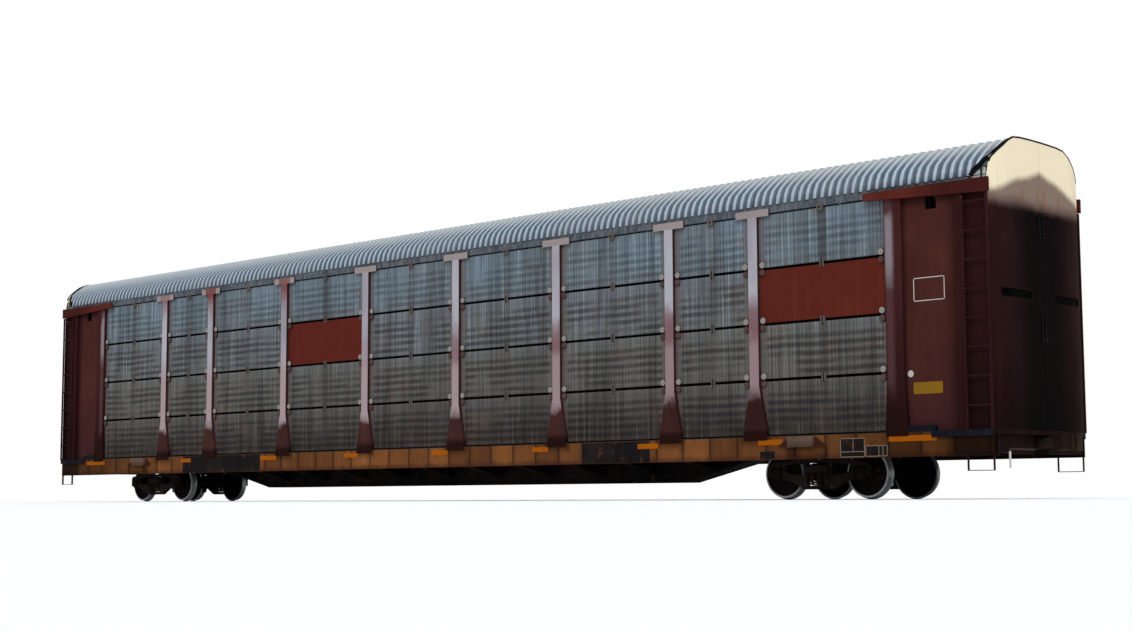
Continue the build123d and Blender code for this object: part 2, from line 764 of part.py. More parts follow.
RESERVOIR = dict(x=(1750, 2550), y=720, drop=240, radius=190)
CYLINDER = dict(x=(-2450, -1900), y=620, drop=210, radius=130)
VALVE = dict(x=(560, 820), y=(760, 960), drop=330)
VALVE_HEADROOM = 90
HANGER_INSET = 90
HANGER_HALF = 100
ROD_LENGTH = 260
ROD_HALF = 20


def hung_drum(spec):
    """A drum along the car on two hanger plates that reach up to the deck."""
    low, high = spec["x"]
    centre = SILL_TOP - spec["drop"]
    drum = Pos((low + high) / 2, spec["y"], centre) * Rot(0, 90, 0) * Cylinder(spec["radius"], high - low)
    for x in (low + HANGER_INSET, high - HANGER_INSET - PLATE):
        drum += block((x, x + PLATE), (spec["y"] - HANGER_HALF, spec["y"] + HANGER_HALF), (centre, SILL_TOP))
    return drum


def brake_equipment():
    """Reservoir, brake cylinder with its push rod, and the cast control valve on its bracket plate."""
    low, centre = CYLINDER["x"][0], SILL_TOP - CYLINDER["drop"]
    rod_y = (CYLINDER["y"] - ROD_HALF, CYLINDER["y"] + ROD_HALF)
    rod_z = (centre - ROD_HALF, centre + ROD_HALF)
    cylinder = hung_drum(CYLINDER) + block((low - ROD_LENGTH, low), rod_y, rod_z)
    valve = block(VALVE["x"], VALVE["y"], (SILL_TOP - VALVE["drop"], SILL_TOP - VALVE_HEADROOM))
    bracket_x = VALVE["x"][0] + HANGER_HALF
    valve += block((bracket_x, bracket_x + PLATE), VALVE["y"], (SILL_TOP - VALVE_HEADROOM, SILL_TOP))
    return [hung_drum(RESERVOIR), cylinder, valve]


LEVER_RADIUS = 12
LEVER_X = END_SILL + 40
LEVER_Y = (-1100, -290)
LEVER_Z = RAIL + 760
LEVER_DROP = 300


def uncoupling_levers():
    """A bent bar on brackets across half of each end, with a handle that hangs at its outer end."""
    outer, inner = LEVER_Y
    bar_x = (LEVER_X - LEVER_RADIUS, LEVER_X + LEVER_RADIUS)
    lever = block(bar_x, LEVER_Y, (LEVER_Z - LEVER_RADIUS, LEVER_Z + LEVER_RADIUS))
    lever += block(bar_x, (outer, outer + 2 * LEVER_RADIUS), (LEVER_Z - LEVER_DROP, LEVER_Z))
    for y in (outer + 150, inner - 100):
        lever += block((END_SILL, LEVER_X), (y, y + PLATE), (LEVER_Z - 25, LEVER_Z + 25))
    return two_fold(lever)


# Trucks, drawn about their own centre and then moved along the car

FRAME_Y = (940, 1040)
FRAME_TOP = 655
WINDOW_HALF = 230
WINDOW = (215, 600)
SPRING_SEAT_Y = (890, 1090)
SPRING_TOP = 440
SPRING_RADIUS = 62
SPRING_SIDES = 8
SPRING_X = (-145, 0, 145)
TRUCK_BOLSTER_HALF = WINDOW_HALF - CLEARANCE
TRUCK_BOLSTER_TOP = 600
TRUCK_BOLSTER_BELLY = (500, 330)
TRUCK_BOLSTER_NECK = FRAME_Y[0] - 80
TRUCK_BOLSTER_TIP = TRUCK_BOLSTER_TOP - 40
BOWL_RADIUS = CENTRE_PLATE_RADIUS + 12
SIDE_BEARING_PAD = 45
BEAM_X = 350
BEAM_Z = (300, 360)
SHOE_THICK = 40
SHOE_GAP = 8
SHOE_Y = (WHEEL_BACK + 46, WHEEL_BACK + RIM_WIDTH - 5)
SHOE_SPREAD = 16

HALF_BASE = WHEELBASE / 2
JAW_IN = HALF_BASE - BEARING_RADIUS - CLEARANCE
JAW_OUT = HALF_BASE + BEARING_RADIUS + CLEARANCE
JAW_ROOF = TREAD_RADIUS + BEARING_RADIUS + RUNNING_GAP

# Half of the side frame's outline from its bottom centre, x and height above the rail
FRAME_OUTLINE = [
    (0, 150),
    (300, 150),
    (560, 290),
    (JAW_IN, 330),
    (JAW_IN, JAW_ROOF),
    (JAW_OUT, JAW_ROOF),
    (JAW_OUT, 360),
    (JAW_OUT + 56, 360),
    (JAW_OUT + 56, 545),
    (JAW_OUT + 10, 600),
    (560, FRAME_TOP),
    (0, FRAME_TOP),
]
SIDE_WINDOW = [(300, 400), (300, 600), (690, 570), (690, 460), (540, 410)]


def above_rail(points):
    return [(a, RAIL + z) for a, z in points]


def mirrored_outline(half):
    return half + [(-a, z) for a, z in reversed(half) if a != 0]


def side_frame():
    """Cast side frame: pedestal jaws, bolster window with its spring seat, and a window each side."""
    y_low, y_high = FRAME_Y
    frame = across(above_rail(mirrored_outline(FRAME_OUTLINE)), y_low, y_high)
    low, high = WINDOW
    frame -= block((-WINDOW_HALF, WINDOW_HALF), (y_low - 1, y_high + 1), (RAIL + low, RAIL + high))
    for side in (-1, 1):
        frame -= across([(side * x, z) for x, z in above_rail(SIDE_WINDOW)], y_low - 1, y_high + 1)
    seat = block((-WINDOW_HALF, WINDOW_HALF), SPRING_SEAT_Y, (RAIL + low - 25, RAIL + low))
    return frame + seat


def truck_bolster():
    """Bolster that rides on the springs, deeper at the middle, with its centre bowl and side bearings."""
    end = SPRING_SEAT_Y[1]
    neck = TRUCK_BOLSTER_NECK
    half = [
        TRUCK_BOLSTER_BELLY,
        (neck, SPRING_TOP),
        (end, SPRING_TOP),
        (end, TRUCK_BOLSTER_TIP),
        (neck, TRUCK_BOLSTER_TOP),
    ]
    body = along(above_rail(mirrored_outline(half)), -TRUCK_BOLSTER_HALF, TRUCK_BOLSTER_HALF)
    bowl_middle = RAIL + (TRUCK_BOLSTER_TOP + BOWL_HEIGHT) / 2
    bowl = Pos(0, 0, bowl_middle) * Cylinder(BOWL_RADIUS, BOWL_HEIGHT - TRUCK_BOLSTER_TOP)
    body += bowl
    pad_y = (SIDE_BEARING - SIDE_BEARING_PAD, SIDE_BEARING + SIDE_BEARING_PAD)
    pad_z = (RAIL + TRUCK_BOLSTER_TOP, SIDE_BEARING_BOTTOM - CLEARANCE)
    for pad in both_sides(block((-2 * SIDE_BEARING_PAD, 2 * SIDE_BEARING_PAD), pad_y, pad_z)):
        body += pad
    return body


def spring_nests():
    """Outer coils of each nest, as plain eight-sided columns between the seat and the bolster."""
    coil = extrude(RegularPolygon(SPRING_RADIUS, SPRING_SIDES), SPRING_TOP - WINDOW[0])
    coils = [Pos(x, JOURNAL_CENTRE, RAIL + WINDOW[0]) * coil for x in SPRING_X]
    return [copy for place in coils for copy in both_sides(place)]


def brake_beam():
    """Beam between the side frames with a shoe facing each wheel's tread."""
    beam_x = (BEAM_X - 30, BEAM_X + 30)
    beam = block(beam_x, (-FRAME_Y[0], FRAME_Y[0]), (RAIL + BEAM_Z[0], RAIL + BEAM_Z[1]))
    near = TREAD_RADIUS + SHOE_GAP
    far = near + SHOE_THICK

    def on_circle(radius, angle):
        return HALF_BASE - radius * cos(radians(angle)), AXLE_LINE - radius * sin(radians(angle))

    centre = 12
    angles = [centre - SHOE_SPREAD, centre, centre + SHOE_SPREAD]
    outline = [on_circle(near, a) for a in angles] + [on_circle(far, a) for a in reversed(angles)]
    for shoe in both_sides(across(outline, *SHOE_Y)):
        beam += shoe
    head_z = (RAIL + BEAM_Z[0], RAIL + BEAM_Z[1] + 60)
    for head in both_sides(block((BEAM_X, BEAM_X + 62), SHOE_Y, head_z)):
        beam += head
    return beam


FLANGE_WIDTH = 30


def wheelset():
    """Axle with two wheels, flanges inward, and the bearing cartridges on its journals."""
    rim_face = WHEEL_BACK + RIM_WIDTH
    bearing_in = JOURNAL_CENTRE - BEARING_LENGTH / 2
    bearing_out = JOURNAL_CENTRE + BEARING_LENGTH / 2
    half = [
        (AXLE_RADIUS, WHEEL_BACK),
        (TREAD_RADIUS + FLANGE_DEPTH, WHEEL_BACK),
        (TREAD_RADIUS + FLANGE_DEPTH, WHEEL_BACK + FLANGE_WIDTH),
        (TREAD_RADIUS, WHEEL_BACK + FLANGE_WIDTH),
        (TREAD_RADIUS, rim_face),
        (AXLE_RADIUS, rim_face),
        (AXLE_RADIUS, bearing_in),
        (BEARING_RADIUS, bearing_in),
        (BEARING_RADIUS, bearing_out),
        (0, bearing_out),
    ]
    outline = [(r, -y) for r, y in reversed(half)] + half
    return Pos(0, 0, AXLE_LINE) * revolve(outline_face(outline), Axis.Y)


def main():
    os.makedirs("parts", exist_ok=True)
    save("centre_sill", centre_sill())
    save("side_sills", side_sills())
    save("crossbearers", crossbearers())
    save("body_bolsters", body_bolsters())
    save("end_sills", end_sills())
    save("draft_housings", draft_housings())
    save("jacking_pads", jacking_pads())
    save("sill_steps", sill_steps())
    save("lower_deck", lower_deck())
    save("side_posts", side_posts())
    save("end_posts", end_posts())
    save("side_screens_near", side_screens(-1))
    save("side_screens_far", side_screens(1))
    save("sign_panels", sign_panels())
    save("end_panels", end_panels())
    save("eave_rails", eave_rails())
    save("upper_deck", upper_deck())
    save("roof_sheets", roof_sheets())
    save("roof_end_arches", roof_end_arches())
    save("upper_door_tracks", upper_door_tracks())
    save("lower_door_tracks", lower_door_tracks())
    save("door_thresholds", door_thresholds())
    for end, end_name in ((1, "a"), (-1, "b")):
        for side, side_name in ((-1, "near"), (1, "far")):
            save(f"end_door_{end_name}_{side_name}", [end_door(side, end)])
    save("ladders", ladders())
    save("brake_equipment", brake_equipment())
    save("uncoupling_levers", uncoupling_levers())
    for end_name, turn in (("a", 0), ("b", 180)):
        save(f"coupler_{end_name}", [coupler_shank().rotate(Axis.Z, turn)])
        save(f"knuckle_{end_name}", [knuckle().rotate(Axis.Z, turn)])
    number = 0
    for end_name, centre in (("a", TRUCK_CENTRE), ("b", -TRUCK_CENTRE)):
        place = Pos(centre, 0, 0)
        save(f"side_frames_{end_name}", [place * frame for frame in both_sides(side_frame())])
        save(f"truck_bolster_{end_name}", [place * truck_bolster()])
        save(f"spring_nests_{end_name}", [place * coil for coil in spring_nests()])
        save(f"brake_beams_{end_name}", [place * beam for beam in both_ends(brake_beam())])
        for offset in (HALF_BASE, -HALF_BASE):
            number += 1
            save(f"wheelset_{number}", [Pos(centre + offset, 0, 0) * wheelset()])


main()
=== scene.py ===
import bpy
from math import cos, pi, sin
from mathutils import Matrix, Vector


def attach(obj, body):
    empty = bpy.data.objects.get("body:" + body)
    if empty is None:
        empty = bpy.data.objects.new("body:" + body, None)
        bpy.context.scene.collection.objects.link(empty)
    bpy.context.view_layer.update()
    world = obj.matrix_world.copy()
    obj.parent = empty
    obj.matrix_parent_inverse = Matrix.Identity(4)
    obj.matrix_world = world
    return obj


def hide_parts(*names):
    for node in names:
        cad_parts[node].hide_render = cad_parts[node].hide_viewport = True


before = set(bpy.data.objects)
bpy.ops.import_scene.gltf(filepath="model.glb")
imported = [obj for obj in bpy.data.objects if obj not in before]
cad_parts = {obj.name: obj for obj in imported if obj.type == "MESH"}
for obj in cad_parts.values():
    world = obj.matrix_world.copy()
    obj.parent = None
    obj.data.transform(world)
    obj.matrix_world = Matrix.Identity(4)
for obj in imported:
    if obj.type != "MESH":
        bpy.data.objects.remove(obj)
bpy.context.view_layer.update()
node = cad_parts

# Underframe
# The welded sills, crossbearers and bolsters that carry everything. Black car paint, dulled by road dust
# and rust, which shows first along the lower edges and in patches.

GLOSS = 0.012


def tint(red, green, blue):
    """A colour as the eye reads it, 0 to 255, in the renderer's linear numbers."""
    return tuple((part / 255) ** 2.2 for part in (red, green, blue)) + (1.0,)


class Value:
    """One output of a shader node, for use in Python expressions."""

    def __init__(self, paint, socket):
        self.paint = paint
        self.socket = socket

    def math(self, operation, *others):
        return self.paint.node("Math", {"operation": operation}, dict(enumerate([self, *others])))

    def __add__(self, other):
        return self.math("ADD", other)

    __radd__ = __add__

    def __sub__(self, other):
        return self.math("SUBTRACT", other)

    def __rsub__(self, other):
        return self.paint.node("Math", {"operation": "SUBTRACT"}, {0: other, 1: self})

    def __mul__(self, other):
        return self.math("MULTIPLY", other)

    __rmul__ = __mul__

    def __truediv__(self, other):
        return self.math("DIVIDE", other)

    def __abs__(self):
        return self.math("ABSOLUTE")

    def larger(self, other):
        return self.math("MAXIMUM", other)

    def smaller(self, other):
        return self.math("MINIMUM", other)

    def step(self, start, end):
        """0 at start, 1 at end, and smooth between them."""
        settings = {"interpolation_type": "SMOOTHSTEP"}
        return self.paint.node("MapRange", settings, {0: self, 1: start, 2: end, 3: 0.0, 4: 1.0})

    def at(self, centre, half, soft):
        """1 within half of the centre, and 0 past a soft edge."""
        return 1 - abs(self - centre).step(half, half + soft)

    def repeat(self, pitch):
        """Distance from the nearest multiple of the pitch, from 0 to half a pitch."""
        return abs(self.math("WRAP", pitch / 2, -pitch / 2))


class Paint:
    """One finish: nodes are added by node(), and coat() joins them to its surface."""

    def __init__(self, name):
        self.material = bpy.data.materials.new(name)
        self.material.use_nodes = True
        self.tree = self.material.node_tree
        self.surface = self.tree.nodes["Principled BSDF"]
        self.surface.inputs["Specular IOR Level"].default_value = GLOSS
        self.place = self.node("TexCoord", {}, {}, "Object")
        parts = self.node("SeparateXYZ", {}, {0: self.place})
        self.x, self.y, self.z = (Value(self, out) for out in parts.socket.node.outputs)

    def feed(self, socket, value):
        if isinstance(value, Value):
            self.tree.links.new(value.socket, socket)
        else:
            socket.default_value = value

    def node(self, kind, settings, inputs, output=0):
        made = self.tree.nodes.new("ShaderNode" + kind)
        for name, value in settings.items():
            setattr(made, name, value)
        for key, value in inputs.items():
            self.feed(made.inputs[key], value)
        return Value(self, made.outputs[output])

    def noise(self, scale, detail=3.0, stretch=(1, 1, 1)):
        """Soft random marks, about scale of them in a metre along each axis where stretch is 1."""
        grid = self.node("VectorMath", {"operation": "MULTIPLY"}, {0: self.place, 1: stretch})
        return self.node("TexNoise", {}, {"Vector": grid, "Scale": scale, "Detail": detail})

    def mix(self, first, second, share):
        return self.node("Mix", {"data_type": "RGBA"}, {0: share, 6: first, 7: second}, 2)

    def coat(self, colour, roughness, height=None, depth=0.001, metallic=0.0):
        self.feed(self.surface.inputs["Base Color"], colour)
        self.feed(self.surface.inputs["Roughness"], roughness)
        self.feed(self.surface.inputs["Metallic"], metallic)
        if height is not None:
            bump = self.node("Bump", {}, {"Height": height, "Distance": depth, "Strength": 1.0})
            self.feed(self.surface.inputs["Normal"], bump)


def weathered(name, clean, worn, rust, wear=0.5, rusting=0.35, rough=0.62):
    """Old paint on steel: large faded areas, vertical runs, small rust patches and a fine grain."""
    paint = Paint(name)
    faded = paint.noise(0.9, 4.0).step(0.66 - 0.4 * wear, 0.78)
    runs = paint.noise(1.0, 4.0, (7, 7, 0.5)).step(0.45, 0.75)
    spots = paint.noise(6.0, 6.0).step(0.72 - 0.22 * rusting, 0.78)
    grain = paint.noise(240.0, 2.0)
    paint.base = paint.mix(paint.mix(clean, worn, (faded * 0.7 + runs * 0.3)), rust, spots * 0.75)
    paint.rough = spots * 0.2 + grain * 0.12 + rough - 0.06
    paint.height = grain * 0.5 + spots
    return paint


def finish(paint, *names):
    """The paint goes on these pieces of the frame."""
    for name in names:
        node[name].data.materials.clear()
        node[name].data.materials.append(paint.material)


RUST = tint(112, 62, 38)

under_paint = weathered("under_paint", tint(26, 24, 24), tint(44, 38, 35), tint(82, 50, 34),
                        wear=0.7, rusting=0.5)
under_paint.coat(under_paint.base, under_paint.rough, under_paint.height, 0.0012)
finish(under_paint, "centre_sill", "crossbearers", "body_bolsters", "draft_housings")

end_paint = weathered("end_paint", tint(30, 20, 20), tint(44, 30, 28), tint(80, 46, 34), rusting=0.5)
end_paint.coat(end_paint.base, end_paint.rough, end_paint.height, 0.0012)
finish(end_paint, "end_sills", "door_thresholds")

# Side sills
# Two rolled channels, back outward, in the flat car's own orange-brown paint. It has faded in squares between
# weld lines and darkened at the foot, and carries black patches, framed boxes and reflectors. Painted shade
# darkens it toward the ends, and painted shadows lie under the posts and the jacking pads.

SILL_LOW = 0.685
SILL_FACE = 1.488
WELD_PITCH = 0.62
POSTS = (1.433, 4.293, 7.151, 9.076)


def nearest(value, places):
    """Distance from the nearest of these places."""
    found = abs(value - places[0])
    for place in places[1:]:
        found = found.smaller(abs(value - place))
    return found


sill_paint = weathered("sill_paint", tint(104, 66, 39), tint(134, 86, 49), tint(66, 40, 31),
                       wear=0.7, rusting=0.8)
weld_gap = sill_paint.x.repeat(WELD_PITCH)
weld = weld_gap.step(0.035, 0.012)
square = (sill_paint.x / WELD_PITCH).math("FLOOR")
square_tone = sill_paint.node("TexWhiteNoise", {"noise_dimensions": "1D"}, {"W": square})
squares = square_tone * 0.65 + weld_gap.step(0.15, 0.03) * 0.15
foot = (sill_paint.z + sill_paint.noise(7.0) * 0.10).step(SILL_LOW + 0.17, SILL_LOW + 0.05)
# Painted shade: the sill is darkened toward the ends of the car.
shaded = abs(sill_paint.x).step(10.5, 11.7) * 0.6 + abs(sill_paint.x).step(12.7, 13.1) * 0.4
sill_colour = sill_paint.mix(sill_paint.base, tint(58, 39, 29), squares)
sill_colour = sill_paint.mix(sill_colour, tint(38, 25, 21), weld * 0.65)
sill_colour = sill_paint.mix(sill_colour, tint(64, 38, 30), foot * 0.75)
# Painted shadows under the posts and under the jacking pads, mixed with the end shade toward near black.
painted_post_shadow = nearest(abs(sill_paint.x), POSTS).step(0.40, 0.28) * sill_paint.z.step(0.86, 1.04)
painted_pad_shadow = abs(sill_paint.x).at(10.15, 0.38, 0.12) * sill_paint.z.step(0.95, 0.86)
dark = shaded.larger(painted_post_shadow * 0.6).larger(painted_pad_shadow * 0.6)
sill_colour = sill_paint.mix(sill_colour, tint(23, 17, 14), dark * 0.94)
sill_paint.coat(sill_colour, sill_paint.rough, sill_paint.height + weld * 2, 0.0015)
finish(sill_paint, "side_sills")

TRUCK_X, PAD_HALF = 10.058, 0.262

pad_paint = weathered("pad_paint", tint(84, 69, 59), tint(98, 81, 69), tint(66, 46, 36), rusting=0.6)
wing = abs(abs(pad_paint.x) - TRUCK_X).step(PAD_HALF - 0.002, PAD_HALF + 0.002)
# Painted shade: the foot of each pad is darkened as the shade below it.
painted_pad_foot_shade = pad_paint.z.step(1.03, 0.92)
pad_colour = pad_paint.mix(pad_paint.base, tint(58, 44, 38), painted_pad_foot_shade * 0.6)
pad_paint.coat(pad_paint.mix(pad_colour, tint(58, 36, 30), wing), pad_paint.rough, pad_paint.height)
finish(pad_paint, "jacking_pads")

MIRROR_X = Matrix.Scale(-1, 4, (1, 0, 0))
MIRROR_Y = Matrix.Scale(-1, 4, (0, 1, 0))
HALF_TURN = Matrix.Rotation(pi, 4, "Z")
BOTH_WAYS = (HALF_TURN,)
FOUR_CORNERS = (MIRROR_X, MIRROR_Y, HALF_TURN)


class Shape:
    """Gathers the faces of one piece, then makes it an object that rides on a body."""

    def __init__(self, name):
        self.name = name
        self.points = []
        self.faces = []

    def add(self, points, faces):
        start = len(self.points)
        self.points += [Vector(point) for point in points]
        self.faces += [tuple(start + index for index in face) for face in faces]

    def prism(self, outline, axis, low, high):
        """An outline in the other two axes, in their order, drawn out along one axis."""
        count = len(outline)
        for level in (low, high):
            for a, b in outline:
                point = [a, b]
                point.insert(axis, level)
                self.points.append(Vector(point))
        start = len(self.points) - 2 * count
        sides = [(i, (i + 1) % count, count + (i + 1) % count, count + i) for i in range(count)]
        caps = [tuple(range(count))[::-1], tuple(range(count, 2 * count))]
        outward = -1 if axis == 1 else 1
        self.faces += [tuple(start + index for index in face)[::outward] for face in sides + caps]

    def box(self, x, y, z):
        self.prism([(x[0], y[0]), (x[1], y[0]), (x[1], y[1]), (x[0], y[1])], 2, *z)

    def disc(self, centre, radius, axis, low, high, sides=20):
        """A round plate about a centre in the other two axes."""
        angles = [2 * pi * i / sides for i in range(sides)]
        outline = [(centre[0] + radius * cos(a), centre[1] + radius * sin(a)) for a in angles]
        self.prism(outline, axis, low, high)

    def skin(self, rings, sides, order=1):
        """Joins the last rings of points into a closed tube. Order -1 turns its faces over."""
        last = len(self.points) - sides
        start = last - (rings - 1) * sides
        for ring in range(rings - 1):
            for i in range(sides):
                a, b = start + ring * sides + i, start + ring * sides + (i + 1) % sides
                self.faces.append((a, b, b + sides, a + sides)[::order])
        self.faces.append(tuple(range(start, start + sides))[::-order])
        self.faces.append(tuple(range(last, last + sides))[::order])

    def bar(self, path, radius, sides=8):
        """A round bar along a path of points, with mitred bends and closed ends."""
        path = [Vector(point) for point in path]
        side = None
        for index, point in enumerate(path):
            along = (path[min(index + 1, len(path) - 1)] - path[max(index - 1, 0)]).normalized()
            if side is None:
                side = along.orthogonal().normalized()
            side = (side - along * side.dot(along)).normalized()
            other = along.cross(side)
            for i in range(sides):
                angle = 2 * pi * i / sides
                self.points.append(point + radius * (side * cos(angle) + other * sin(angle)))
        self.skin(len(path), sides)

    def lathe(self, profile, centre, sides=48):
        """A profile of (y, radius) turned about a line across the car through a centre (x, z)."""
        for y, radius in profile:
            for i in range(sides):
                angle = 2 * pi * i / sides
                forward, up = radius * cos(angle), radius * sin(angle)
                self.points.append(Vector((centre[0] + forward, y, centre[1] + up)))
        self.skin(len(profile), sides, -1)

    def copies(self, moves):
        """What is gathered so far comes once more for each move."""
        points, faces = list(self.points), list(self.faces)
        for move in moves:
            flip = -1 if move.determinant() < 0 else 1
            self.add([move @ point for point in points], [face[::flip] for face in faces])
        return self

    def ride(self, body, paint, slot=None, smooth=False):
        mesh = bpy.data.meshes.new(self.name)
        mesh.from_pydata(self.points, [], self.faces)
        mesh.materials.append(paint.material)
        mesh.polygons.foreach_set("use_smooth", [smooth] * len(mesh.polygons))
        mesh.update()
        piece = bpy.data.objects.new(self.name, mesh)
        bpy.context.scene.collection.objects.link(piece)
        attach(piece, body)
        return piece


REFLECTORS = ((-12.51, -11.67), (-8.29, -7.87), (-5.12, -4.53), (-2.12, -1.65), (0.72, 1.21),
              (3.63, 4.06), (6.36, 6.85), (9.13, 9.65), (11.79, 12.69))
REFLECTOR_Z, REFLECTOR_THICK = (0.938, 1.032), 0.003
reflector_paint = weathered("reflector_paint", tint(142, 74, 11), tint(156, 88, 18), tint(100, 54, 24),
                            rough=0.4)
reflector_paint.coat(reflector_paint.base, reflector_paint.rough)
reflectors = Shape("reflectors")
for start, end in REFLECTORS:
    reflectors.box((start, end), (-SILL_FACE - REFLECTOR_THICK, -SILL_FACE), REFLECTOR_Z)
reflectors.copies(BOTH_WAYS).ride("car_body", reflector_paint)

STENCIL_BOXES = ((10.84, 11.32, 0.700, 1.015), (11.34, 11.76, 0.705, 0.885))
BLACK_PATCHES = ((-8.20, -5.12, 0.690, 1.076), (4.96, 6.65, 0.690, 1.076), (9.17, 9.48, 0.700, 0.830))
PAINT_LAYER = 0.001
patch_paint = weathered("patch_paint", tint(28, 26, 27), tint(46, 40, 38), tint(96, 56, 38), rusting=0.7)
patch_paint.coat(patch_paint.base, patch_paint.rough)
patches = Shape("sill_patches")
for start, end, low, high in BLACK_PATCHES + STENCIL_BOXES:
    patches.box((start, end), (-SILL_FACE - PAINT_LAYER, -SILL_FACE), (low, high))
patches.copies(BOTH_WAYS).ride("car_body", patch_paint)

STENCIL_LINE = 0.009
CELL_LEVELS = ((10.84, 11.32, 0.785),)
CELL_UPRIGHTS = ((11.09, 0.785, 1.015), (11.59, 0.705, 0.885), (11.67, 0.705, 0.885))
frame_paint = weathered("frame_paint", tint(132, 116, 98), tint(112, 96, 80), tint(84, 56, 42), rusting=0.6)
frame_paint.coat(frame_paint.base, frame_paint.rough)
stencil_frames = Shape("stencil_frames")
levels, uprights = list(CELL_LEVELS), list(CELL_UPRIGHTS)
for start, end, low, high in STENCIL_BOXES:
    levels += [(start, end, low), (start, end, high - STENCIL_LINE)]
    uprights += [(start, low, high), (end - STENCIL_LINE, low, high)]
over = (-SILL_FACE - 2 * PAINT_LAYER, -SILL_FACE - PAINT_LAYER)
for start, end, z in levels:
    stencil_frames.box((start, end), over, (z, z + STENCIL_LINE))
for x, low, high in uprights:
    stencil_frames.box((x, x + STENCIL_LINE), over, (low, high))
stencil_frames.copies(BOTH_WAYS).ride("car_body", frame_paint)

# Decks
# Two pressed steel decks for the vehicles. The lower one is the flat car's floor, the upper one hangs between
# the posts. Bare grey steel, scuffed along the wheel paths.

DECK_RIB_PITCH = 0.3

deck_paint = weathered("deck_paint", tint(96, 96, 94), tint(122, 120, 114), RUST, rusting=0.6)
# Painted shadow: the deck's outer edges are darkened as the shade line between the screens and the sill.
painted_deck_edge_shadow = abs(deck_paint.y).step(1.36, 1.40)
deck_colour = deck_paint.mix(deck_paint.base, tint(38, 33, 31), painted_deck_edge_shadow * 0.9)
deck_ribs = deck_paint.x.repeat(DECK_RIB_PITCH).step(0.02, 0.03)
deck_paint.coat(deck_colour, deck_paint.rough, deck_paint.height + deck_ribs, 0.003)
finish(deck_paint, "lower_deck", "upper_deck")

# Side posts
# Hat-shaped pressings that stand out from the screens, welded to the sill through a flared boot. Their
# fronts have weathered to mauve-grey, their sides and boots keep the maroon.

POST_FACE = 1.500
BOOT_BAND, BOOT_TOP = 1.207, 1.957
CAP_LOW = 4.935
RUSTY_POSTS = ((-POSTS[2], 0.9), (-POSTS[1], 0.8), (-POSTS[3], 0.6))

post_paint = weathered("post_paint", tint(58, 37, 35), tint(74, 48, 45), tint(84, 48, 40),
                       wear=0.5, rusting=0.3)
front = abs(post_paint.y).step(POST_FACE - 0.004, POST_FACE - 0.001)
chalk = post_paint.noise(1.6, 5.0, (1, 1, 0.35)).step(0.30, 0.65)
along = post_paint.x * post_paint.y.math("SIGN") * -1.0
edge = post_paint.z + post_paint.noise(3.0) * 0.5 - 0.25
mauve = post_paint.mix(tint(134, 130, 138), tint(158, 156, 164), chalk)
rosy = post_paint.mix(tint(150, 133, 137), tint(131, 111, 115), along.step(-2.0, 8.5))
mauve = post_paint.mix(rosy, mauve, edge.step(2.85, 3.60))
mauve = post_paint.mix(mauve, tint(104, 68, 76), edge.at(3.15, 0.12, 0.40) * along.step(-3.0, 3.0) * 0.75)
rusty = sum(along.at(place, 0.2, 0.02) * share for place, share in RUSTY_POSTS)
rusty_top = edge.step(4.25, 5.0)
mauve = post_paint.mix(mauve, tint(108, 58, 52), rusty_top * (rusty + 0.08))
cap = post_paint.z.step(CAP_LOW, CAP_LOW + 0.005)
post_colour = post_paint.mix(post_paint.base, mauve, front * edge.step(BOOT_TOP - 0.30, BOOT_TOP - 0.05))
post_colour = post_paint.mix(post_colour, tint(134, 122, 119), cap * front * (1 - rusty) * 0.85)
band = (post_paint.z + post_paint.noise(12.0) * 0.03).step(BOOT_BAND + 0.12, BOOT_BAND - 0.05)
shade = post_paint.z.step(BOOT_TOP + 0.1, BOOT_TOP - 0.2) * along.step(5.0, 9.0) * 0.4
post_colour = post_paint.mix(post_colour, tint(28, 17, 14), (band * 0.85).larger(shade))
post_paint.coat(post_colour, post_paint.rough, post_paint.height)
finish(post_paint, "side_posts")

# End posts and end panels
# Plain sheets close the rack between the last screens and the corner. They are dark red-brown, with a blank
# framed box, a round reflector and a yellow plate, and a narrow post that carries the ladder.

panel_paint = weathered("panel_paint", tint(63, 36, 33), tint(76, 45, 40), tint(48, 30, 30),
                        wear=0.6, rusting=0.2)
lower = (panel_paint.z + panel_paint.noise(1.4) * 0.8).step(3.4, 1.4)
patchy = panel_paint.noise(2.2, 5.0).step(0.5, 0.8)
panel_colour = panel_paint.mix(panel_paint.base, tint(80, 45, 40), patchy * 0.5)
panel_colour = panel_paint.mix(panel_colour, tint(52, 32, 34), lower * 0.6)
# Painted shadow: the top of each panel is darkened as the shade under the beam.
panel_colour = panel_paint.mix(panel_colour, tint(40, 24, 24), panel_paint.z.step(4.75, 4.97) * 0.7)
corner = abs(panel_paint.x).step(12.80, 13.22)
beside = abs(panel_paint.x).step(12.20, 12.06)
panel_shade = (corner * (lower * 0.2 + 0.72) + beside * 0.55).smaller(1.0)
panel_colour = panel_paint.mix(panel_colour, tint(31, 19, 20), panel_shade)
panel_paint.coat(panel_colour, panel_paint.rough, panel_paint.height)
finish(panel_paint, "end_panels")

END_POST_EDGE, END_POST_MIDDLE = 11.790, 11.875

end_post_paint = weathered("end_post_paint", tint(58, 32, 32), tint(70, 41, 40), tint(46, 26, 26), wear=0.4)
end_front = abs(end_post_paint.y).step(POST_FACE - 0.004, POST_FACE - 0.001)
height_edge = end_post_paint.z + end_post_paint.noise(2.5) * 0.8
end_along = abs(end_post_paint.x)
crown = end_along.at(END_POST_MIDDLE, 0.025, 0.100) * end_along.step(END_POST_EDGE, END_POST_EDGE + 0.025)
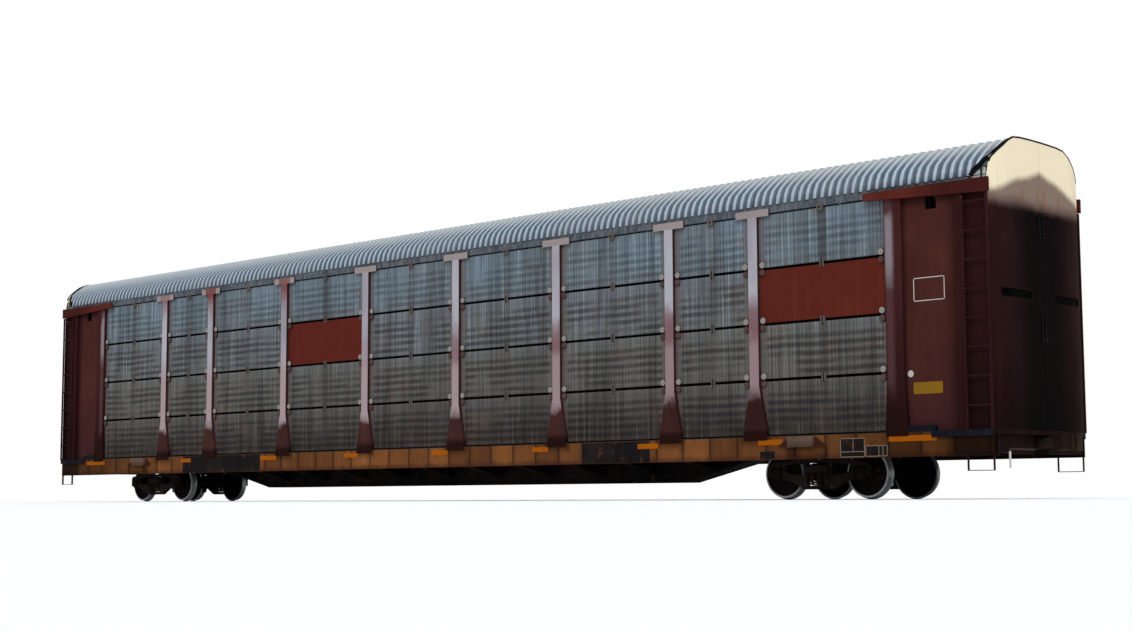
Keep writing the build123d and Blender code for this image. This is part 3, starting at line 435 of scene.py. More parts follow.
# Painted highlight: a pale line down the middle of the post's rounded front, high up.
pale = crown * height_edge.step(3.75, 4.35) * height_edge.step(5.25, 5.0)
ladder_post = end_along.step(12.80, 12.90)
dim = height_edge.step(4.0, 1.2) * (0.9 - ladder_post * 0.6) + ladder_post * 0.45
end_colour = end_post_paint.mix(end_post_paint.base, tint(30, 18, 17), dim)
# Painted highlight: the same centre line, fainter and rosier, lower down.
painted_lower_highlight = end_front * crown * height_edge.step(1.9, 2.4)
end_colour = end_post_paint.mix(end_colour, tint(88, 64, 66), painted_lower_highlight * 0.45)
end_colour = end_post_paint.mix(end_colour, tint(122, 114, 119), end_front * pale * 0.9)
end_post_paint.coat(end_colour, end_post_paint.rough, end_post_paint.height)
finish(end_post_paint, "end_posts")

PANEL_FACE = 1.430
LABEL_LINE = 0.014
LABEL_X, LABEL_Z = (12.29, 12.87), (3.20, 3.585)
REFLECTOR_CENTRE, REFLECTOR_RADIUS = (12.20, 2.03), 0.056
PLATE_X, PLATE_Z = (12.25, 12.79), (1.695, 1.885)
MARK_THICK = 0.002

white_paint = weathered("white_paint", tint(176, 172, 166), tint(150, 142, 136), tint(110, 84, 76),
                        rough=0.5)
white_paint.coat(white_paint.base, white_paint.rough)
marks = Shape("panel_marks")
face = (-PANEL_FACE - MARK_THICK, -PANEL_FACE)
for z in (LABEL_Z[0], LABEL_Z[1] - LABEL_LINE):
    marks.box(LABEL_X, face, (z, z + LABEL_LINE))
for x in (LABEL_X[0], LABEL_X[1] - LABEL_LINE):
    marks.box((x, x + LABEL_LINE), face, LABEL_Z)
marks.disc(REFLECTOR_CENTRE, REFLECTOR_RADIUS, 1, *face)
marks.copies(BOTH_WAYS).ride("car_body", white_paint)

yellow_paint = weathered("yellow_paint", tint(120, 89, 26), tint(110, 82, 30), tint(80, 54, 32), rough=0.45)
yellow_paint.coat(yellow_paint.base, yellow_paint.rough)
yellow = Shape("yellow_plate")
yellow.box(PLATE_X, face, PLATE_Z)
yellow.copies(BOTH_WAYS).ride("car_body", yellow_paint)

# Side screens
# Perforated galvanized sheets that let air through and keep stones out. They are folded with fine vertical
# ribs, each fold darkened by painted shade, and the frames behind them show through as a plaid of darker
# bands.

ROW_FOOT, ROW_PITCH = 1.117, 0.975
SCREEN_FACE = 1.430
RIB_PITCH = 0.0735
BAND_PITCH = 0.145
HOLE_PITCH = 0.016
HOLE_RADIUS = 0.004
END_POST = 11.955
BAY_MIDDLES = (0.0, 2.863, 5.722, 8.1135, 10.5)

screen_paint = Paint("screen_paint")
height, along = screen_paint.z, abs(screen_paint.x)
tones = screen_paint.mix(tint(61, 55, 49), tint(99, 97, 94), height.step(1.1, 2.5))
tones = screen_paint.mix(tones, tint(106, 108, 110), height.step(2.6, 3.4))
tones = screen_paint.mix(tones, tint(112, 126, 136), height.step(3.6, 4.6))
dust = screen_paint.noise(0.7, 5.0).step(0.45, 0.75)
tones = screen_paint.mix(tones, tint(112, 104, 96), dust * 0.35)
rusted = screen_paint.noise(1.7, 5.0).step(0.58, 0.72)
tones = screen_paint.mix(tones, tint(112, 84, 68), rusted * 0.30)
rise = (height - ROW_FOOT).math("FLOORED_MODULO", ROW_PITCH)
wander = screen_paint.noise(0.8, 1.0, (1, 0, 1)) * 0.06
uneven = screen_paint.noise(2.0, 2.0, (0.4, 0, 1)).step(0.28, 0.55)
level = (rise + wander).repeat(BAND_PITCH).step(0.062, 0.018) * rise.step(0.92, 0.60) * uneven
broad = screen_paint.noise(3.4, 1.0, (1, 0, 0.04)).step(0.50, 0.62)
narrow = screen_paint.noise(11.0, 1.0, (1, 0, 0.03)).step(0.50, 0.62)
bright = screen_paint.noise(15.0, 0.0, (1, 0, 0.05)).step(0.54, 0.70)
sheen = screen_paint.mix(tint(112, 108, 104), tint(150, 168, 180), height.step(1.8, 4.0))
rib = screen_paint.x.repeat(RIB_PITCH).step(0.016, 0.006)
line = height.repeat(0.034).step(0.012, 0.006)
plain = nearest(along, POSTS + (END_POST,)).step(0.27, 0.20)
middle = nearest(along, BAY_MIDDLES).step(0.100, 0.080)
hole_x, hole_z = screen_paint.x.repeat(HOLE_PITCH), height.repeat(HOLE_PITCH)
hole = (hole_x * hole_x + hole_z * hole_z).step((HOLE_RADIUS + 0.0005) ** 2, (HOLE_RADIUS - 0.0005) ** 2)
screen_colour = screen_paint.mix(tones, sheen, bright * (1 - plain) * 0.32)
screen_colour = screen_paint.mix(screen_colour, tint(110, 100, 98), plain * 0.5 + middle * 0.2)
level = level * (0.62 - height.step(3.6, 4.2) * 0.20)
# The rib lines in this plaid are painted shade in the folds.
plaid = 1 - (1 - broad * 0.24) * (1 - narrow * 0.28) * (1 - level) * (1 - rib * 0.24)
screen_colour = screen_paint.mix(screen_colour, tint(36, 35, 37), plaid * (1 - plain * 0.7))
lines = line * (middle + plain * 0.5).smaller(1.0)
screen_colour = screen_paint.mix(screen_colour, tint(44, 42, 42), lines * 0.5)
screen_colour = screen_paint.mix(screen_colour, tint(20, 20, 22), hole * 0.4)
screen_paint.coat(screen_colour, dust * 0.2 + 0.55, rib * -1.0, 0.006, 0.15)
finish(screen_paint, "side_screens_near", "side_screens_far")

sign_paint = weathered("sign_paint", tint(82, 37, 31), tint(98, 47, 37), tint(64, 31, 29),
                       wear=0.5, rusting=0.2)
sign_fold = sign_paint.x.repeat(RIB_PITCH * 2).step(0.02, 0.006)
sign_colour = sign_paint.mix(sign_paint.base, tint(78, 34, 30), sign_fold * 0.2)
sign_paint.coat(sign_colour, sign_paint.rough, sign_fold, 0.002)
finish(sign_paint, "sign_panels")

# Screen tabs and clips
# Round bolted plates hold each screen's corners against the posts, a pale one above each seam and a rusty one
# below it. A grey clip ties the panels at the middle of each seam, and a larger one hangs from the rail.

TAB_RADIUS, TAB_REACH, TAB_DROP = 0.053, 0.086, 0.066
TAB_BACK, TAB_FRONT = 1.462, 1.476
BOLT_RADIUS, BOLT_HEIGHT = 0.016, 0.010
EAR_HALF, EAR_PAST, STRAP_HALF, STRAP_THICK = 0.030, 0.020, 0.120, 0.012
POST_HALF = 0.100
SEAMS = (2.067, 3.042, 4.017)
SCREEN_TOP = 4.967
CLIP_HALF_WIDTH, CLIP_HALF_HEIGHT, CLIP_THICK = 0.042, 0.070, 0.016
PIN_HALF, PIN_PROUD = 0.012, 0.008
HANGER_HALF, HANGER_DROP, HANGER_RISE, HANGER_FACE = 0.055, 0.055, 0.070, 1.484
HEAD_HALF, HEAD_PROUD = 0.020, 0.006

tab_paint = weathered("tab_paint", tint(76, 60, 58), tint(96, 78, 74), tint(72, 46, 40), rusting=0.6)
above_seam = (tab_paint.z - SEAMS[0]).math("FLOORED_MODULO", ROW_PITCH).step(0.5, 0.4)
tab_colour = tab_paint.mix(tab_paint.base, tint(138, 135, 129), above_seam * 0.85)
tab_paint.coat(tab_colour, tab_paint.rough, tab_paint.height)
bracket_paint = weathered("bracket_paint", tint(44, 34, 34), tint(62, 48, 46), tint(84, 52, 42),
                          rusting=0.5)
bracket_paint.coat(bracket_paint.base, bracket_paint.rough)
clip_paint = weathered("clip_paint", tint(84, 80, 76), tint(108, 104, 100), tint(74, 52, 44), rusting=0.6)
clip_paint.coat(clip_paint.base, clip_paint.rough)

tabs = Shape("screen_tabs")
brackets = Shape("tab_brackets")
edges = [(place + side * POST_HALF, side) for place in POSTS for side in (-1, 1)] + [(END_POST_EDGE, -1)]
for edge, side in edges:
    centre = edge + side * TAB_REACH
    span = sorted((edge, centre + side * EAR_PAST))
    for z in [seam + way * TAB_DROP for seam in SEAMS for way in (-1, 1)]:
        tabs.disc((centre, z), TAB_RADIUS, 1, -TAB_FRONT, -TAB_BACK, 16)
        tabs.disc((centre, z), BOLT_RADIUS, 1, -TAB_FRONT - BOLT_HEIGHT, -TAB_FRONT, 6)
        brackets.box(span, (-TAB_BACK, -SCREEN_FACE), (z - EAR_HALF, z + EAR_HALF))
    for seam in SEAMS:
        strap = (seam - STRAP_HALF, seam + STRAP_HALF)
        brackets.box(span, (-SCREEN_FACE - STRAP_THICK, -SCREEN_FACE), strap)
tabs.copies(FOUR_CORNERS).ride("car_body", tab_paint)
brackets.copies(FOUR_CORNERS).ride("car_body", bracket_paint)

clips = Shape("screen_clips")
pins = Shape("clip_pins")
for middle in sorted({side * place for place in BAY_MIDDLES for side in (-1, 1)}):
    x = (middle - CLIP_HALF_WIDTH, middle + CLIP_HALF_WIDTH)
    for seam in SEAMS:
        z = (seam - CLIP_HALF_HEIGHT, seam + CLIP_HALF_HEIGHT)
        front = -SCREEN_FACE - CLIP_THICK
        clips.box(x, (front, -SCREEN_FACE), z)
        pins.box((middle - PIN_HALF, middle + PIN_HALF), (front - PIN_PROUD, front), z)
    x, z = (middle - HANGER_HALF, middle + HANGER_HALF), (SCREEN_TOP - HANGER_DROP, SCREEN_TOP + HANGER_RISE)
    clips.box(x, (-HANGER_FACE, -SCREEN_FACE), z)
    x, z = (middle - HEAD_HALF, middle + HEAD_HALF), (SCREEN_TOP - HEAD_HALF, SCREEN_TOP + HEAD_HALF)
    pins.box(x, (-HANGER_FACE - HEAD_PROUD, -HANGER_FACE), z)
clips.copies((MIRROR_Y,)).ride("car_body", clip_paint)
pins.copies((MIRROR_Y,)).ride("car_body", bracket_paint)

# Eave rails
# A flat galvanized rail along the top of each wall, on which the roof sheets rest and are bolted. Smooth
# arched sheets of the same steel close the roof's ends from below.

eave_paint = weathered("eave_paint", tint(66, 71, 77), tint(86, 91, 97), tint(80, 62, 54),
                       wear=0.6, rusting=0.5)
mottle = eave_paint.noise(14.0, 4.0, (1, 1, 0.4)).step(0.40, 0.62)
eave_colour = eave_paint.mix(eave_paint.base, tint(106, 110, 114), mottle * 0.55)
eave_paint.coat(eave_colour, eave_paint.rough, eave_paint.height, 0.001, 0.15)
finish(eave_paint, "eave_rails", "roof_end_arches")

# Roof
# Corrugated galvanized sheets, each rolled in one piece from eave to eave and lapped over the posts. The ribs
# are round, with painted highlights on their crests, a painted bluish sky reflection in their valleys and
# painted light on the top of the roof, and the end sheets are cut back at the corners.

ROOF_END = 13.780
EAVE = 5.125
ROOF_PITCH = 0.156
ROOF_DEPTH = 0.028
ROOF_LINE = ((1.495, EAVE), (1.470, 5.270), (1.400, 5.400), (1.250, 5.530), (1.030, 5.690), (0.830, 5.785),
             (0.600, 5.806), (0.300, 5.813), (0.0, 5.815))
ROOF_THICK = 0.004
STEPS_PER_RIB = 8
CUT_PLAN = ((-0.40, 1.505), (-0.20, 1.450), (-0.08, 1.340), (0.0, 1.030), (0.0, 0.0))
SHEET_LAP = 0.004
ROOF_SEAMS = sorted(side * place for place in POSTS + (ROOF_END,) for side in (-1, 1))


def roof_reach(y):
    """How far along the car the roof reaches at a place across it, at its cut corners."""
    across = abs(y)
    for (x0, y0), (x1, y1) in zip(CUT_PLAN, CUT_PLAN[1:]):
        if y1 <= across <= y0:
            return ROOF_END + x0 + (x1 - x0) * (y0 - across) / (y0 - y1)
    return ROOF_END


def roof_section():
    """The roof line from one eave to the other, with its outward direction at each point."""
    half = list(ROOF_LINE)
    full = half + [(-y, z) for y, z in reversed(half[:-1])]
    found = []
    for index, (y, z) in enumerate(full):
        before, after = full[max(index - 1, 0)], full[min(index + 1, len(full) - 1)]
        direction = Vector((after[0] - before[0], after[1] - before[1])).normalized()
        found.append((y, z, direction.y, -direction.x))
    return found


roof = Shape("corrugated_roof")
section = roof_section()
width = len(section)
crests = []
for start, end in zip(ROOF_SEAMS, ROOF_SEAMS[1:]):
    ribs = round((end - start) / ROOF_PITCH)
    steps = ribs * STEPS_PER_RIB
    low = start if start == -ROOF_END else start + SHEET_LAP
    high = end if end == ROOF_END else end - SHEET_LAP
    first = len(roof.points)
    for step in range(steps + 1):
        share = step / steps
        crest = 0.5 - 0.5 * cos(2 * pi * share * ribs)
        crests += [crest] * width
        sink = ROOF_DEPTH * (1 - crest)
        along = low + (high - low) * share
        for y, z, out_y, out_z in section:
            limit = roof_reach(y)
            x = max(-limit, min(limit, along))
            inward = -1 if y > 0 else 1
            roof.points.append(Vector((x, y + inward * sink * abs(out_y), z - sink * abs(out_z))))
    for step in range(steps):
        for i in range(width - 1):
            a = first + step * width + i
            roof.faces.append((a, a + width, a + width + 1, a + 1))

roof_paint = Paint("roof_paint")
crest_mark = roof_paint.node("VertexColor", {"layer_name": "crest"}, {})
crest_level = roof_paint.node("SeparateColor", {}, {0: crest_mark})
stain = roof_paint.noise(1.2, 5.0).step(0.45, 0.75)
# Painted light: pale highlights on the crests and a bluish reflection of the sky in the valleys.
roof_colour = roof_paint.mix(tint(82, 92, 104), tint(160, 172, 182), crest_level.step(0.46, 0.88))
roof_colour = roof_paint.mix(roof_colour, tint(126, 128, 128), stain * 0.30)
# Painted light: the top of the roof is painted lighter.
roof_colour = roof_paint.mix(roof_colour, tint(190, 192, 188), roof_paint.z.step(5.45, 5.75) * 0.45)
roof_paint.coat(roof_colour, stain * 0.2 + 0.42, roof_paint.noise(90.0), 0.0006, 0.35)
roof_piece = roof.ride("car_body", roof_paint, "roof_steel", smooth=True)
crest_marks = roof_piece.data.color_attributes.new("crest", "FLOAT_COLOR", "POINT")
for mark, crest in zip(crest_marks.data, crests):
    mark.color = (crest, crest, crest, 1.0)
solid = roof_piece.modifiers.new("thickness", "SOLIDIFY")
solid.thickness = ROOF_THICK
solid.offset = -1
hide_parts("roof_sheets")

# Roof corners
# Where the roof is cut back, a broad black rubber band seals its edge, and a thinner one runs over the door
# tops. A grey gusset and two dark rods fill the gap above the door track.

DOOR_FACE = 13.835
DOOR_FLAT, DOOR_RADIUS = 0.950, 1.300
SEAL_PLACES = (1.490, 1.470, 1.440, 1.400, 1.340, 1.250, 1.150, 1.030, 0.830)
SEAL_RADIUS, SEAL_INSET, SEAL_DROP = 0.034, 0.012, 0.026
TOP_SEAL_PLACES = SEAL_PLACES[2:] + (0.60, 0.30, 0.0)
TOP_SEAL_RADIUS, TOP_SEAL_INSET, TOP_SEAL_RISE = 0.018, 0.010, 0.008
GUSSET = ((13.40, 4.995), (13.70, 4.995), (13.70, 5.24), (13.62, 5.24), (13.40, 5.12))
GUSSET_FACES = (-1.44, -1.43)
ROD_PLACES, ROD_LEVELS, ROD_Y, ROD_RADIUS = (13.60, 13.70), (4.99, 5.26), 1.452, 0.014

rubber_paint = weathered("rubber_paint", tint(20, 20, 22), tint(34, 33, 33), tint(52, 46, 42), rusting=0.1)
rubber_paint.coat(rubber_paint.base, rubber_paint.rough)
gusset_paint = weathered("gusset_paint", tint(168, 170, 170), tint(150, 146, 138), tint(110, 80, 62),
                         rusting=0.3)
gusset_paint.coat(gusset_paint.base, gusset_paint.rough)


def roof_height(y):
    """The roof line's height at a place across the car."""
    for (y0, z0), (y1, z1) in zip(ROOF_LINE, ROOF_LINE[1:]):
        if y1 <= abs(y) <= y0:
            return z0 + (z1 - z0) * (y0 - abs(y)) / (y0 - y1)
    return EAVE


def door_reach(y):
    """How far along the car the doors' outer face stands at a place across it."""
    bend = max(abs(y) - DOOR_FLAT, 0.0)
    return DOOR_FACE - DOOR_RADIUS + (DOOR_RADIUS ** 2 - bend ** 2) ** 0.5


seal = Shape("corner_seals")
cut_line = [(roof_reach(y) - SEAL_INSET, -y, roof_height(y) - SEAL_DROP) for y in SEAL_PLACES]
seal.bar(cut_line, SEAL_RADIUS, 6)
seal.copies(FOUR_CORNERS).ride("car_body", rubber_paint)

top_seal = Shape("door_top_seals")
crest_line = [(door_reach(y) - TOP_SEAL_INSET, -y, roof_height(y) + TOP_SEAL_RISE)
              for y in TOP_SEAL_PLACES]
top_seal.bar(crest_line + [(x, -y, z) for x, y, z in reversed(crest_line[:-1])], TOP_SEAL_RADIUS, 6)
top_seal.copies(BOTH_WAYS).ride("car_body", rubber_paint)

gusset = Shape("corner_gussets")
gusset.prism(GUSSET, 1, *GUSSET_FACES)
gusset.copies(FOUR_CORNERS).ride("car_body", gusset_paint)

rods = Shape("corner_rods")
for x in ROD_PLACES:
    rods.bar([(x, -ROD_Y, z) for z in ROD_LEVELS], ROD_RADIUS)
rods.copies(FOUR_CORNERS).ride("car_body", rubber_paint)

# Door tracks
# The doors hang from deepening beams along the eave and run on a track at the sill, so that they can slide
# round the corner. The beams are brick red, the lower track is nearly black.

track_paint = weathered("track_paint", tint(78, 37, 32), tint(98, 52, 45), tint(56, 30, 28),
                        wear=0.5, rusting=0.4)
track_end = abs(track_paint.x).step(12.2, 13.0)
track_colour = track_paint.mix(track_paint.base, tint(50, 25, 24), track_end * 0.7)
track_paint.coat(track_colour, track_paint.rough, track_paint.height)
finish(track_paint, "upper_door_tracks")
dark_paint = weathered("dark_paint", tint(24, 26, 34), tint(40, 38, 42), tint(60, 40, 34), rusting=0.3)
dark_paint.coat(dark_paint.base, dark_paint.rough, dark_paint.height)
finish(dark_paint, "lower_door_tracks")

# End doors
# Two curved steel leaves close each end. They are dark maroon, with a cream band across their tops, slots
# for the handles, a bar of locks at the seam and rust that runs down from the bolts. Painted shade darkens
# them toward the seam and a painted shadow toward the foot, the cream is painted dull in shade low down and
# bright in a sunlit band along the tops, and the slots are painted black as shade in their recesses.

CREAM_LOW = 4.66
SLOT_CENTRE, SLOT_HALF, SLOT_RUN = 3.262, 0.070, 0.395
SLOT_MIDDLE = 0.815
STAINS = (-0.575, -0.095, 0.118, 0.610)

door_paint = weathered("door_paint", tint(38, 23, 23), tint(49, 32, 31), tint(26, 17, 17),
                       wear=0.5, rusting=0.2)
# Painted shade: the leaves darken toward the seam, and a painted shadow darkens them toward the foot.
painted_seam_shade = abs(door_paint.y).step(1.25, 0.35)
painted_foot_shadow = (door_paint.z + door_paint.noise(1.2) * 1.2).step(3.6, 1.2)
door_colour = door_paint.mix(door_paint.base, tint(9, 7, 8), painted_seam_shade * 0.85)
door_colour = door_paint.mix(door_colour, tint(9, 7, 8), painted_foot_shadow * 0.60)
edge_line = door_paint.z + door_paint.noise(2.0, 3.0) * 0.14
run = door_paint.noise(1.0, 3.0, (9, 9, 0.7)).step(0.50, 0.75)
# The cream band is painted dull as shade low down and painted bright as sunlight along the top.
cream_paint_and_painted_sun = door_paint.mix(tint(72, 58, 55), tint(122, 105, 95), edge_line.step(4.72, 4.98))
painted_sunlight_line = edge_line + abs(door_paint.y) * 0.28
cream_paint_and_painted_sun = door_paint.mix(cream_paint_and_painted_sun, tint(222, 208, 180), painted_sunlight_line.step(5.30, 5.46))
cream_paint_and_painted_sun = door_paint.mix(cream_paint_and_painted_sun, tint(128, 88, 66), run * edge_line.step(5.45, 4.85) * 0.6)
stained = edge_line.step(4.60, 4.95) * edge_line.step(5.10, 5.02)
stain = nearest(door_paint.y, STAINS).step(0.040, 0.010) * stained
cream_paint_and_painted_sun = door_paint.mix(cream_paint_and_painted_sun, tint(116, 76, 56), stain * 0.5)
door_colour = door_paint.mix(door_colour, cream_paint_and_painted_sun, edge_line.step(CREAM_LOW, CREAM_LOW + 0.16))
slot_y = (abs(abs(door_paint.y) - SLOT_MIDDLE) - SLOT_RUN).larger(0.0)
slot_z = door_paint.z - SLOT_CENTRE
slot_gap = (slot_y * slot_y + slot_z * slot_z).math("SQRT")
# Rust rims each slot, and the slot itself is painted black as shade in its recess.
door_colour = door_paint.mix(door_colour, tint(46, 28, 24), slot_gap.step(SLOT_HALF + 0.016, SLOT_HALF) * 0.7)
door_colour = door_paint.mix(door_colour, tint(6, 6, 7), slot_gap.step(SLOT_HALF + 0.001, SLOT_HALF - 0.001))
door_paint.coat(door_colour, door_paint.rough, door_paint.height)
finish(door_paint, "end_door_a_near", "end_door_a_far", "end_door_b_near", "end_door_b_far")

LOCK_BARS = ((4.18, 4.65), (2.50, 2.98))
BAR_THICK, GUIDE_THICK = 0.012, 0.022
BAR_Y, GUIDE_Y = (-0.075, -0.030), (-0.095, -0.010)
GUIDE_INSET, GUIDE_HALF = 0.05, 0.02
hardware = Shape("door_locks")
for low, high in LOCK_BARS:
    hardware.box((DOOR_FACE, DOOR_FACE + BAR_THICK), BAR_Y, (low, high))
    for z in (low + GUIDE_INSET, high - GUIDE_INSET):
        hardware.box((DOOR_FACE, DOOR_FACE + GUIDE_THICK), GUIDE_Y, (z - GUIDE_HALF, z + GUIDE_HALF))
hardware.copies(FOUR_CORNERS).ride("car_body", rubber_paint)

# Ladders and steps
# Flat bar stiles with square rungs, standing off the corner sheets on short feet, and stirrups of bent flat
# bar below them. They are painted dark maroon like the rack.

ladder_paint = weathered("ladder_paint", tint(44, 25, 27), tint(60, 36, 36), tint(80, 50, 42), rusting=0.3)
ladder_paint.coat(ladder_paint.base, ladder_paint.rough, ladder_paint.height)
finish(ladder_paint, "ladders", "sill_steps")

# Brake gear and uncoupling levers
# Air reservoir, cylinder and valve under the deck, and bent rods at the corners that lift the coupler locks.
# They are steel, dark with road dust, and the hanging handles of the rods are painted nearly white.

gear_paint = weathered("gear_paint", tint(40, 36, 34), tint(60, 52, 46), RUST, rusting=0.5)
gear_paint.coat(gear_paint.base, gear_paint.rough, gear_paint.height)
finish(gear_paint, "brake_equipment")
rod_paint = weathered("rod_paint", tint(52, 46, 44), tint(70, 62, 58), tint(92, 60, 44), rusting=0.5)
grip = rod_paint.z.step(0.76, 0.74)
rod_paint.coat(rod_paint.mix(rod_paint.base, tint(186, 184, 178), grip), rod_paint.rough, rod_paint.height)
finish(rod_paint, "uncoupling_levers")

# Couplers
# Cast steel heads and knuckles on long shanks. They are left unpainted, so that a crack would show, and have
# gone rust brown.

cast_paint = weathered("cast_paint", tint(40, 32, 28), tint(58, 46, 38), tint(88, 54, 36),
                       wear=0.6, rusting=0.8)
cast_paint.coat(cast_paint.base, cast_paint.rough, cast_paint.height, 0.002, 0.2)
for end in ("a", "b"):
    finish(cast_paint, "coupler_" + end, "knuckle_" + end)

# Trucks
# Two cast side frames on each truck, tied by a bolster that floats on nests of coil springs, each with a
# smaller spring inside it. The brake beams hang between the wheels. All of it is dark with brake dust.

SPRING_PLACES = (-0.145, 0.0, 0.145)
SPRING_SIDE = 0.990
SPRING_LOW, SPRING_HIGH = 0.240, 0.465
OUTER_COIL, INNER_COIL = (0.050, 0.011, 5), (0.027, 0.008, -7)
STEPS_PER_TURN = 16

truck_paint = weathered("truck_paint", tint(27, 24, 23), tint(44, 38, 34), tint(70, 46, 36),
                        wear=0.7, rusting=0.6)
truck_paint.coat(truck_paint.base, truck_paint.rough, truck_paint.height, 0.002)
spring_paint = weathered("spring_paint", tint(40, 32, 28), tint(58, 46, 38), tint(84, 54, 38), rusting=0.8)
spring_paint.coat(spring_paint.base, spring_paint.rough, spring_paint.height)


def spring(shape, x, y, radius, wire, turns):
    """One coil spring. With turns below nothing it is wound the other way."""
    total = abs(turns) * STEPS_PER_TURN
    low, high = SPRING_LOW + wire, SPRING_HIGH - wire
    path = []
    for step in range(total + 1):
        angle = 2 * pi * turns * step / total
        z = low + (high - low) * step / total
        path.append((x + radius * cos(angle), y + radius * sin(angle), z))
    shape.bar(path, wire, 6)


for end, centre in (("a", TRUCK_X), ("b", -TRUCK_X)):
    finish(truck_paint, "side_frames_" + end, "truck_bolster_" + end, "brake_beams_" + end)
    nest = Shape("coil_springs_" + end)
    for offset in SPRING_PLACES:
        for side in (-1, 1):
            spring(nest, centre + offset, side * SPRING_SIDE, *OUTER_COIL)
            spring(nest, centre + offset, side * SPRING_SIDE, *INNER_COIL)
    piece = nest.ride("truck_" + end, spring_paint, "spring_steel", smooth=True)
    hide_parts("spring_nests_" + end)

# Wheelsets
# Forged wheels pressed on their axle, with a bearing at each end. The treads are polished by the rail, a line
# round each rim is a painted highlight, and the plates are black with oil and dust.

HALF_WHEELBASE = 0.8635
AXLES = [centre + way * HALF_WHEELBASE for centre in (TRUCK_X, -TRUCK_X) for way in (1, -1)]
AXLE_Z = 0.444
RIM_LINE = (0.378, 0.386)
RIM_FACE = 0.812
WHEEL_HALF = ((0.0, 0.088), (0.640, 0.088), (0.655, 0.130), (0.680, 0.150), (0.684, 0.170), (0.730, 0.330),
              (0.690, 0.365), (0.680, 0.385), (0.680, 0.432), (0.688, 0.442), (0.698, 0.444), (0.706, 0.438),
              (0.712, 0.424), (0.722, 0.419), (0.806, 0.417), (0.820, 0.408), (0.820, 0.378), (0.812, 0.366),
              (0.765, 0.345), (0.756, 0.300), (0.776, 0.180), (0.800, 0.150), (0.835, 0.140), (0.840, 0.090),
              (0.905, 0.088), (0.905, 0.112), (0.910, 0.115), (1.040, 0.115), (1.050, 0.108), (1.058, 0.100),
              (1.062, 0.070), (1.075, 0.066))
CAP_BOLTS, CAP_CIRCLE, CAP_BOLT_RADIUS = 3, 0.045, 0.012
CAP_LEVELS = (1.074, 1.084)
SHARP_ANGLE = 0.6


def axle_distance(paint, x):
    """Distance of a surface point from an axle's line."""
    dx, dz = paint.x - x, paint.z - AXLE_Z
    return (dx * dx + dz * dz).math("SQRT")


for number, x in enumerate(AXLES, 1):
    paint = weathered(f"wheel_paint_{number}", tint(23, 21, 20), tint(38, 33, 30), tint(74, 48, 36),
                      rusting=0.5)
    radius = axle_distance(paint, x)
    across = abs(paint.y)
    tread = radius.step(0.406, 0.411) * across.step(RIM_FACE, RIM_FACE - 0.008) * across.step(0.60, 0.66)
    # Painted highlight: a pale line round the rim's outer face.
    rim = radius.step(*RIM_LINE) * across.step(RIM_FACE - 0.004, RIM_FACE)
    colour = paint.mix(paint.base, tint(150, 150, 152), (tread * 0.7 + rim * 0.9).smaller(1.0))
    paint.coat(colour, paint.rough - tread * 0.3, paint.height, 0.001, tread * 0.7)
    wheels = Shape(f"turned_wheelset_{number}")
    wheels.lathe([(-y, r) for y, r in reversed(WHEEL_HALF)] + list(WHEEL_HALF[1:]), (x, AXLE_Z))
    piece = wheels.ride(f"rolling_{number}", paint, "wheel_steel", smooth=True)
    piece.data.set_sharp_from_angle(angle=SHARP_ANGLE)
    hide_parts(f"wheelset_{number}")
    caps = Shape(f"axle_caps_{number}")
    for side in (-1, 1):
        for turn in range(CAP_BOLTS):
            angle = 2 * pi * turn / CAP_BOLTS
            centre = (x + CAP_CIRCLE * cos(angle), AXLE_Z + CAP_CIRCLE * sin(angle))
            caps.disc(centre, CAP_BOLT_RADIUS, 1, *sorted(side * level for level in CAP_LEVELS), 6)
    caps.ride(f"rolling_{number}", bracket_paint)

# Floor, light and camera
# A pale floor and a white surround, one soft light from the near side and one from above, and the camera at
# the photograph's low viewing angle.

CAMERA_PLACE = (27.558, -25.829, 0.055)
CAMERA_YAW, CAMERA_PITCH, CAMERA_ROLL = 0.7572, 0.1043, -0.0044
FOCAL_PIXELS, IMAGE_WIDTH, SENSOR = 1743.8, 1132, 36.0
FLOOR_HALF = 400.0

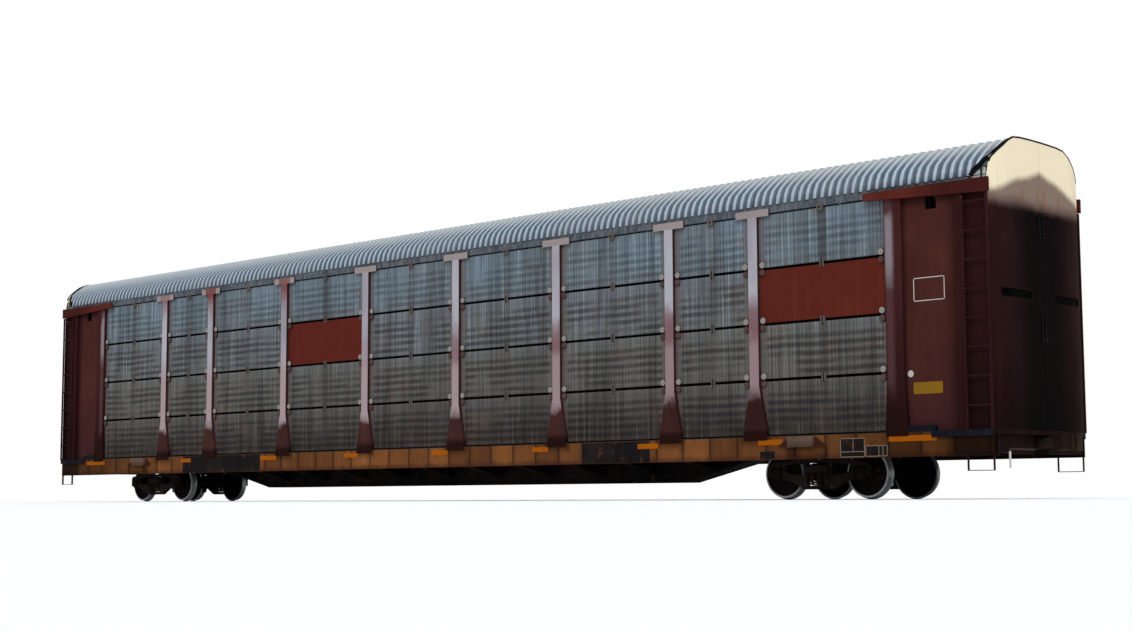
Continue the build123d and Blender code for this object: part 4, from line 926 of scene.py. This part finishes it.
floor_paint = Paint("floor_paint")
floor_paint.coat(tint(226, 226, 224), floor_paint.noise(0.4) * 0.1 + 0.8)
floor_mesh = bpy.data.meshes.new("floor")
corners = [(x * FLOOR_HALF, y * FLOOR_HALF, 0) for x, y in ((-1, -1), (1, -1), (1, 1), (-1, 1))]
floor_mesh.from_pydata(corners, [], [(0, 1, 2, 3)])
floor_mesh.materials.append(floor_paint.material)
floor = bpy.data.objects.new("floor", floor_mesh)
bpy.context.scene.collection.objects.link(floor)

world = bpy.data.worlds.new("surround")
bpy.context.scene.world = world
world.use_nodes = True
tree = world.node_tree
sky = tree.nodes["Background"]
sky.inputs["Color"].default_value = (0.90, 0.95, 1.0, 1.0)
sky.inputs["Strength"].default_value = 0.75
white = tree.nodes.new("ShaderNodeBackground")
white.inputs["Color"].default_value = (1, 1, 1, 1)
white.inputs["Strength"].default_value = 1.0
rays = tree.nodes.new("ShaderNodeLightPath")
choice = tree.nodes.new("ShaderNodeMixShader")
tree.links.new(rays.outputs["Is Camera Ray"], choice.inputs[0])
tree.links.new(sky.outputs[0], choice.inputs[1])
tree.links.new(white.outputs[0], choice.inputs[2])
tree.links.new(choice.outputs[0], tree.nodes["World Output"].inputs["Surface"])

SUNS = (("key_light", (0.95, 0.0, 0.55), 1.5, 0.5), ("top_light", (0.35, 0.0, 1.9), 1.1, 0.9))
for name, turn, strength, softness in SUNS:
    lamp = bpy.data.lights.new(name, "SUN")
    lamp.energy = strength
    lamp.angle = softness
    sun = bpy.data.objects.new(name, lamp)
    sun.rotation_euler = turn
    bpy.context.scene.collection.objects.link(sun)

lens = bpy.data.cameras.new("camera")
lens.sensor_width = SENSOR
lens.lens = FOCAL_PIXELS / IMAGE_WIDTH * SENSOR
lens.clip_end = 1000
camera = bpy.data.objects.new("camera", lens)
turn = Matrix.Rotation(CAMERA_YAW, 4, "Z") @ Matrix.Rotation(pi / 2 + CAMERA_PITCH, 4, "X")
camera.matrix_world = Matrix.Translation(CAMERA_PLACE) @ turn @ Matrix.Rotation(CAMERA_ROLL, 4, "Z")
bpy.context.scene.collection.objects.link(camera)
bpy.context.scene.camera = camera
bpy.context.scene.view_settings.view_transform = "Standard"
